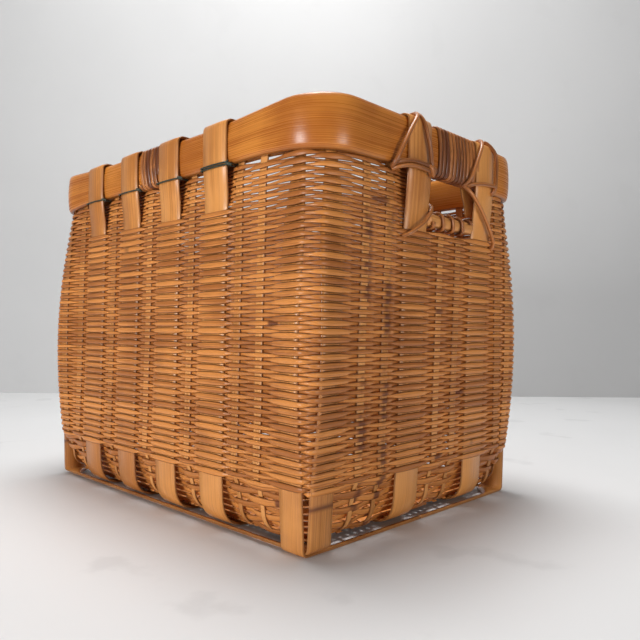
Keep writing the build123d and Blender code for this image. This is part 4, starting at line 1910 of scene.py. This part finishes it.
    def wire_loop(self, place: float, sign: int, level: float) -> list[Vector]:
        """Points of one wire round a strap and back behind the rim.

        Args:
            place: the strap's middle along the long side.
            sign: -1 at the near long side and 1 at the far one.
            level: the wire's height.

        Returns:
            The points.
        """
        left, right = place - self.wire_half, place + self.wire_half
        points = (
            (right + 0.002, 0.1800, level), (right - 0.004, 0.1806, level),
            (place, 0.1808, level + 0.0003), (left + 0.003, 0.1804, level),
            (left - 0.0004, 0.1778, level), (left - 0.0004, 0.168, level),
            (left + 0.001, 0.1572, level), (left + 0.006, 0.1558, level),
            (right - 0.006, 0.1558, level), (right - 0.001, 0.1572, level),
            (right + 0.0006, 0.168, level), (right + 0.001, 0.1778, level),
            (right + 0.003, 0.1800, level + 0.001),
        )
        return [Vector((x, sign * y, z)) for x, y, z in points]

    def wire_twist(self, place: float, sign: int, half_turn: float) -> list[Vector]:
        """Points of one of the two twisted wire ends beside a strap.

        Args:
            place: the strap's middle along the long side.
            sign: -1 at the near long side and 1 at the far one.
            half_turn: the angle that the end starts at.

        Returns:
            The points.
        """
        line = []
        for i in range(9):
            angle = half_turn + i * math.pi * 0.55
            line.append(Vector((
                place + self.wire_half + 0.0012 + self.twist_step * i,
                sign * (0.1801 + self.twist_step * math.cos(angle)),
                self.wire_level + 0.0006 + self.twist_step * math.sin(angle) - 0.00025 * i,
            )))
        return line

    def build(self) -> None:
        """Makes every binding and tie."""
        self.windings()
        self.lashings()
        self.wires()


@dataclass
class Studio:
    """The camera at the photograph's place, with a pale floor, wall and soft light.

    Each lamp has its place, power and size, and points at the basket.
    """

    place: Place = (0.6184, -0.5503, 0.1936)
    heading: float = 134.214
    pitch: float = 0.994
    roll: float = 0.429
    focal_pixels: float = 637.9
    image_width: int = 640
    wall_distance: float = 1.93
    reach: float = 6.0
    wall_height: float = 4.0
    sky: float = 0.13
    floor_tone: float = 0.68
    floor_marks: float = 0.35
    wall_tone: float = 0.54
    wall_marks: float = 0.06
    target: Place = (0.0, 0.0, 0.2)
    lamps: tuple = (
        ("top", (-0.15, 0.08, 2.3), 54.0, 0.9),
        ("key", (0.20, -2.3, 0.30), 33.0, 0.58),
        ("side", (2.0, -0.1, 0.24), 9.5, 0.46),
    )

    def camera(self) -> None:
        """Puts the camera where the photograph was taken from."""
        data = bpy.data.cameras.new("camera")
        data.sensor_width = 36.0
        data.lens = self.focal_pixels / self.image_width * data.sensor_width
        camera = show("camera", data)
        turn = Matrix.Rotation(math.radians(self.heading - 90), 4, "Z")
        tilt = Matrix.Rotation(math.radians(90 + self.pitch), 4, "X")
        lean = Matrix.Rotation(math.radians(self.roll), 4, "Z")
        camera.matrix_world = Matrix.Translation(self.place) @ turn @ tilt @ lean
        bpy.context.scene.camera = camera

    def surface(self, name: str, pale: float, marks: float) -> bpy.types.Material:
        """A painted surface with a faint cloudiness and scuffs.

        Args:
            name: the material's name.
            pale: how light a grey it is.
            marks: how strongly its scuffs show.

        Returns:
            The material.
        """
        shade = Shader(name)
        clean, dull, scuffed = ((share * pale,) * 3 for share in (1.0, 0.95, 0.72))
        cloud = shade.ease(shade.noise(shade.place, 1.6, 5.0), 0.3, 0.7)
        scuff = shade.ease(shade.noise(shade.place, 9.0, 8.0), 0.60, 0.68)
        tint = shade.mix(shade.times(scuff, marks), shade.mix(cloud, dull, clean), scuffed)
        return shade.finish(
            shade.add("ShaderNodeBsdfPrincipled", Base_Color=tint, Roughness=0.55)
        )

    def sheet(self, name: str, corners: list[Vector], material: bpy.types.Material) -> None:
        """Adds one flat stage piece from its corners.

        Args:
            name: the piece's name.
            corners: its corners in order.
            material: its surface.
        """
        mesh = bpy.data.meshes.new(name)
        mesh.from_pydata([tuple(c) for c in corners], [], [(0, 1, 2, 3)])
        mesh.materials.append(material)
        show(name, mesh)

    def room(self) -> None:
        """Adds the floor and the wall behind."""
        far = self.reach
        corners = [Vector((x * far, y * far, 0)) for x, y in ((-1, -1), (1, -1), (1, 1), (-1, 1))]
        paint = self.surface("floor_paint", self.floor_tone, self.floor_marks)
        self.sheet("floor", corners, paint)
        angle = math.radians(self.heading)
        ahead = Vector((math.cos(angle), math.sin(angle), 0))
        aside = Vector((math.sin(angle), -math.cos(angle), 0))
        foot = Vector((self.place[0], self.place[1], 0)) + ahead * self.wall_distance
        rise = UP * self.wall_height
        left, right = foot - aside * far, foot + aside * far
        corners = [left, right, right + rise, left + rise]
        paint = self.surface("wall_paint", self.wall_tone, self.wall_marks)
        self.sheet("wall", corners, paint)

    def light(self) -> None:
        """Soft light from above and from low before the near long side, weaker from the right."""
        world = bpy.data.worlds.new("sky")
        world.use_nodes = True
        background = world.node_tree.nodes["Background"].inputs
        background["Color"].default_value = (1.0, 1.0, 1.0, 1)
        background["Strength"].default_value = self.sky
        bpy.context.scene.world = world
        for name, place, power, size in self.lamps:
            data = bpy.data.lights.new(name, "AREA")
            data.energy, data.size = power, size
            lamp = show(name, data)
            lamp.location = place
            ahead = Vector(self.target) - Vector(place)
            lamp.rotation_euler = ahead.to_track_quat("-Z", "Y").to_euler()


def main() -> None:
    """Builds the basket's dressing and the studio in order."""
    logging.basicConfig(level=logging.INFO, format="%(name)s: %(message)s")
    bpy.context.scene.view_settings.view_transform = "Standard"
    studio = Studio()
    studio.camera()
    finishes = (WEAVER, STRAP, STAKE, RIM, CANE, IronWire())
    weaver, strap, stake, rim, cane, wire = (finish.material() for finish in finishes)
    wall = Wall()
    columns = basket_columns()
    Straps(wall, strap).build()
    Stakes(wall, columns, stake).build()
    Rim(wall, rim).build()
    Grips(cane, stake, wire).build()
    Weave(wall, columns, RowTree(), weaver).build()
    studio.room()
    studio.light()


if __name__ == "__main__":
    main()
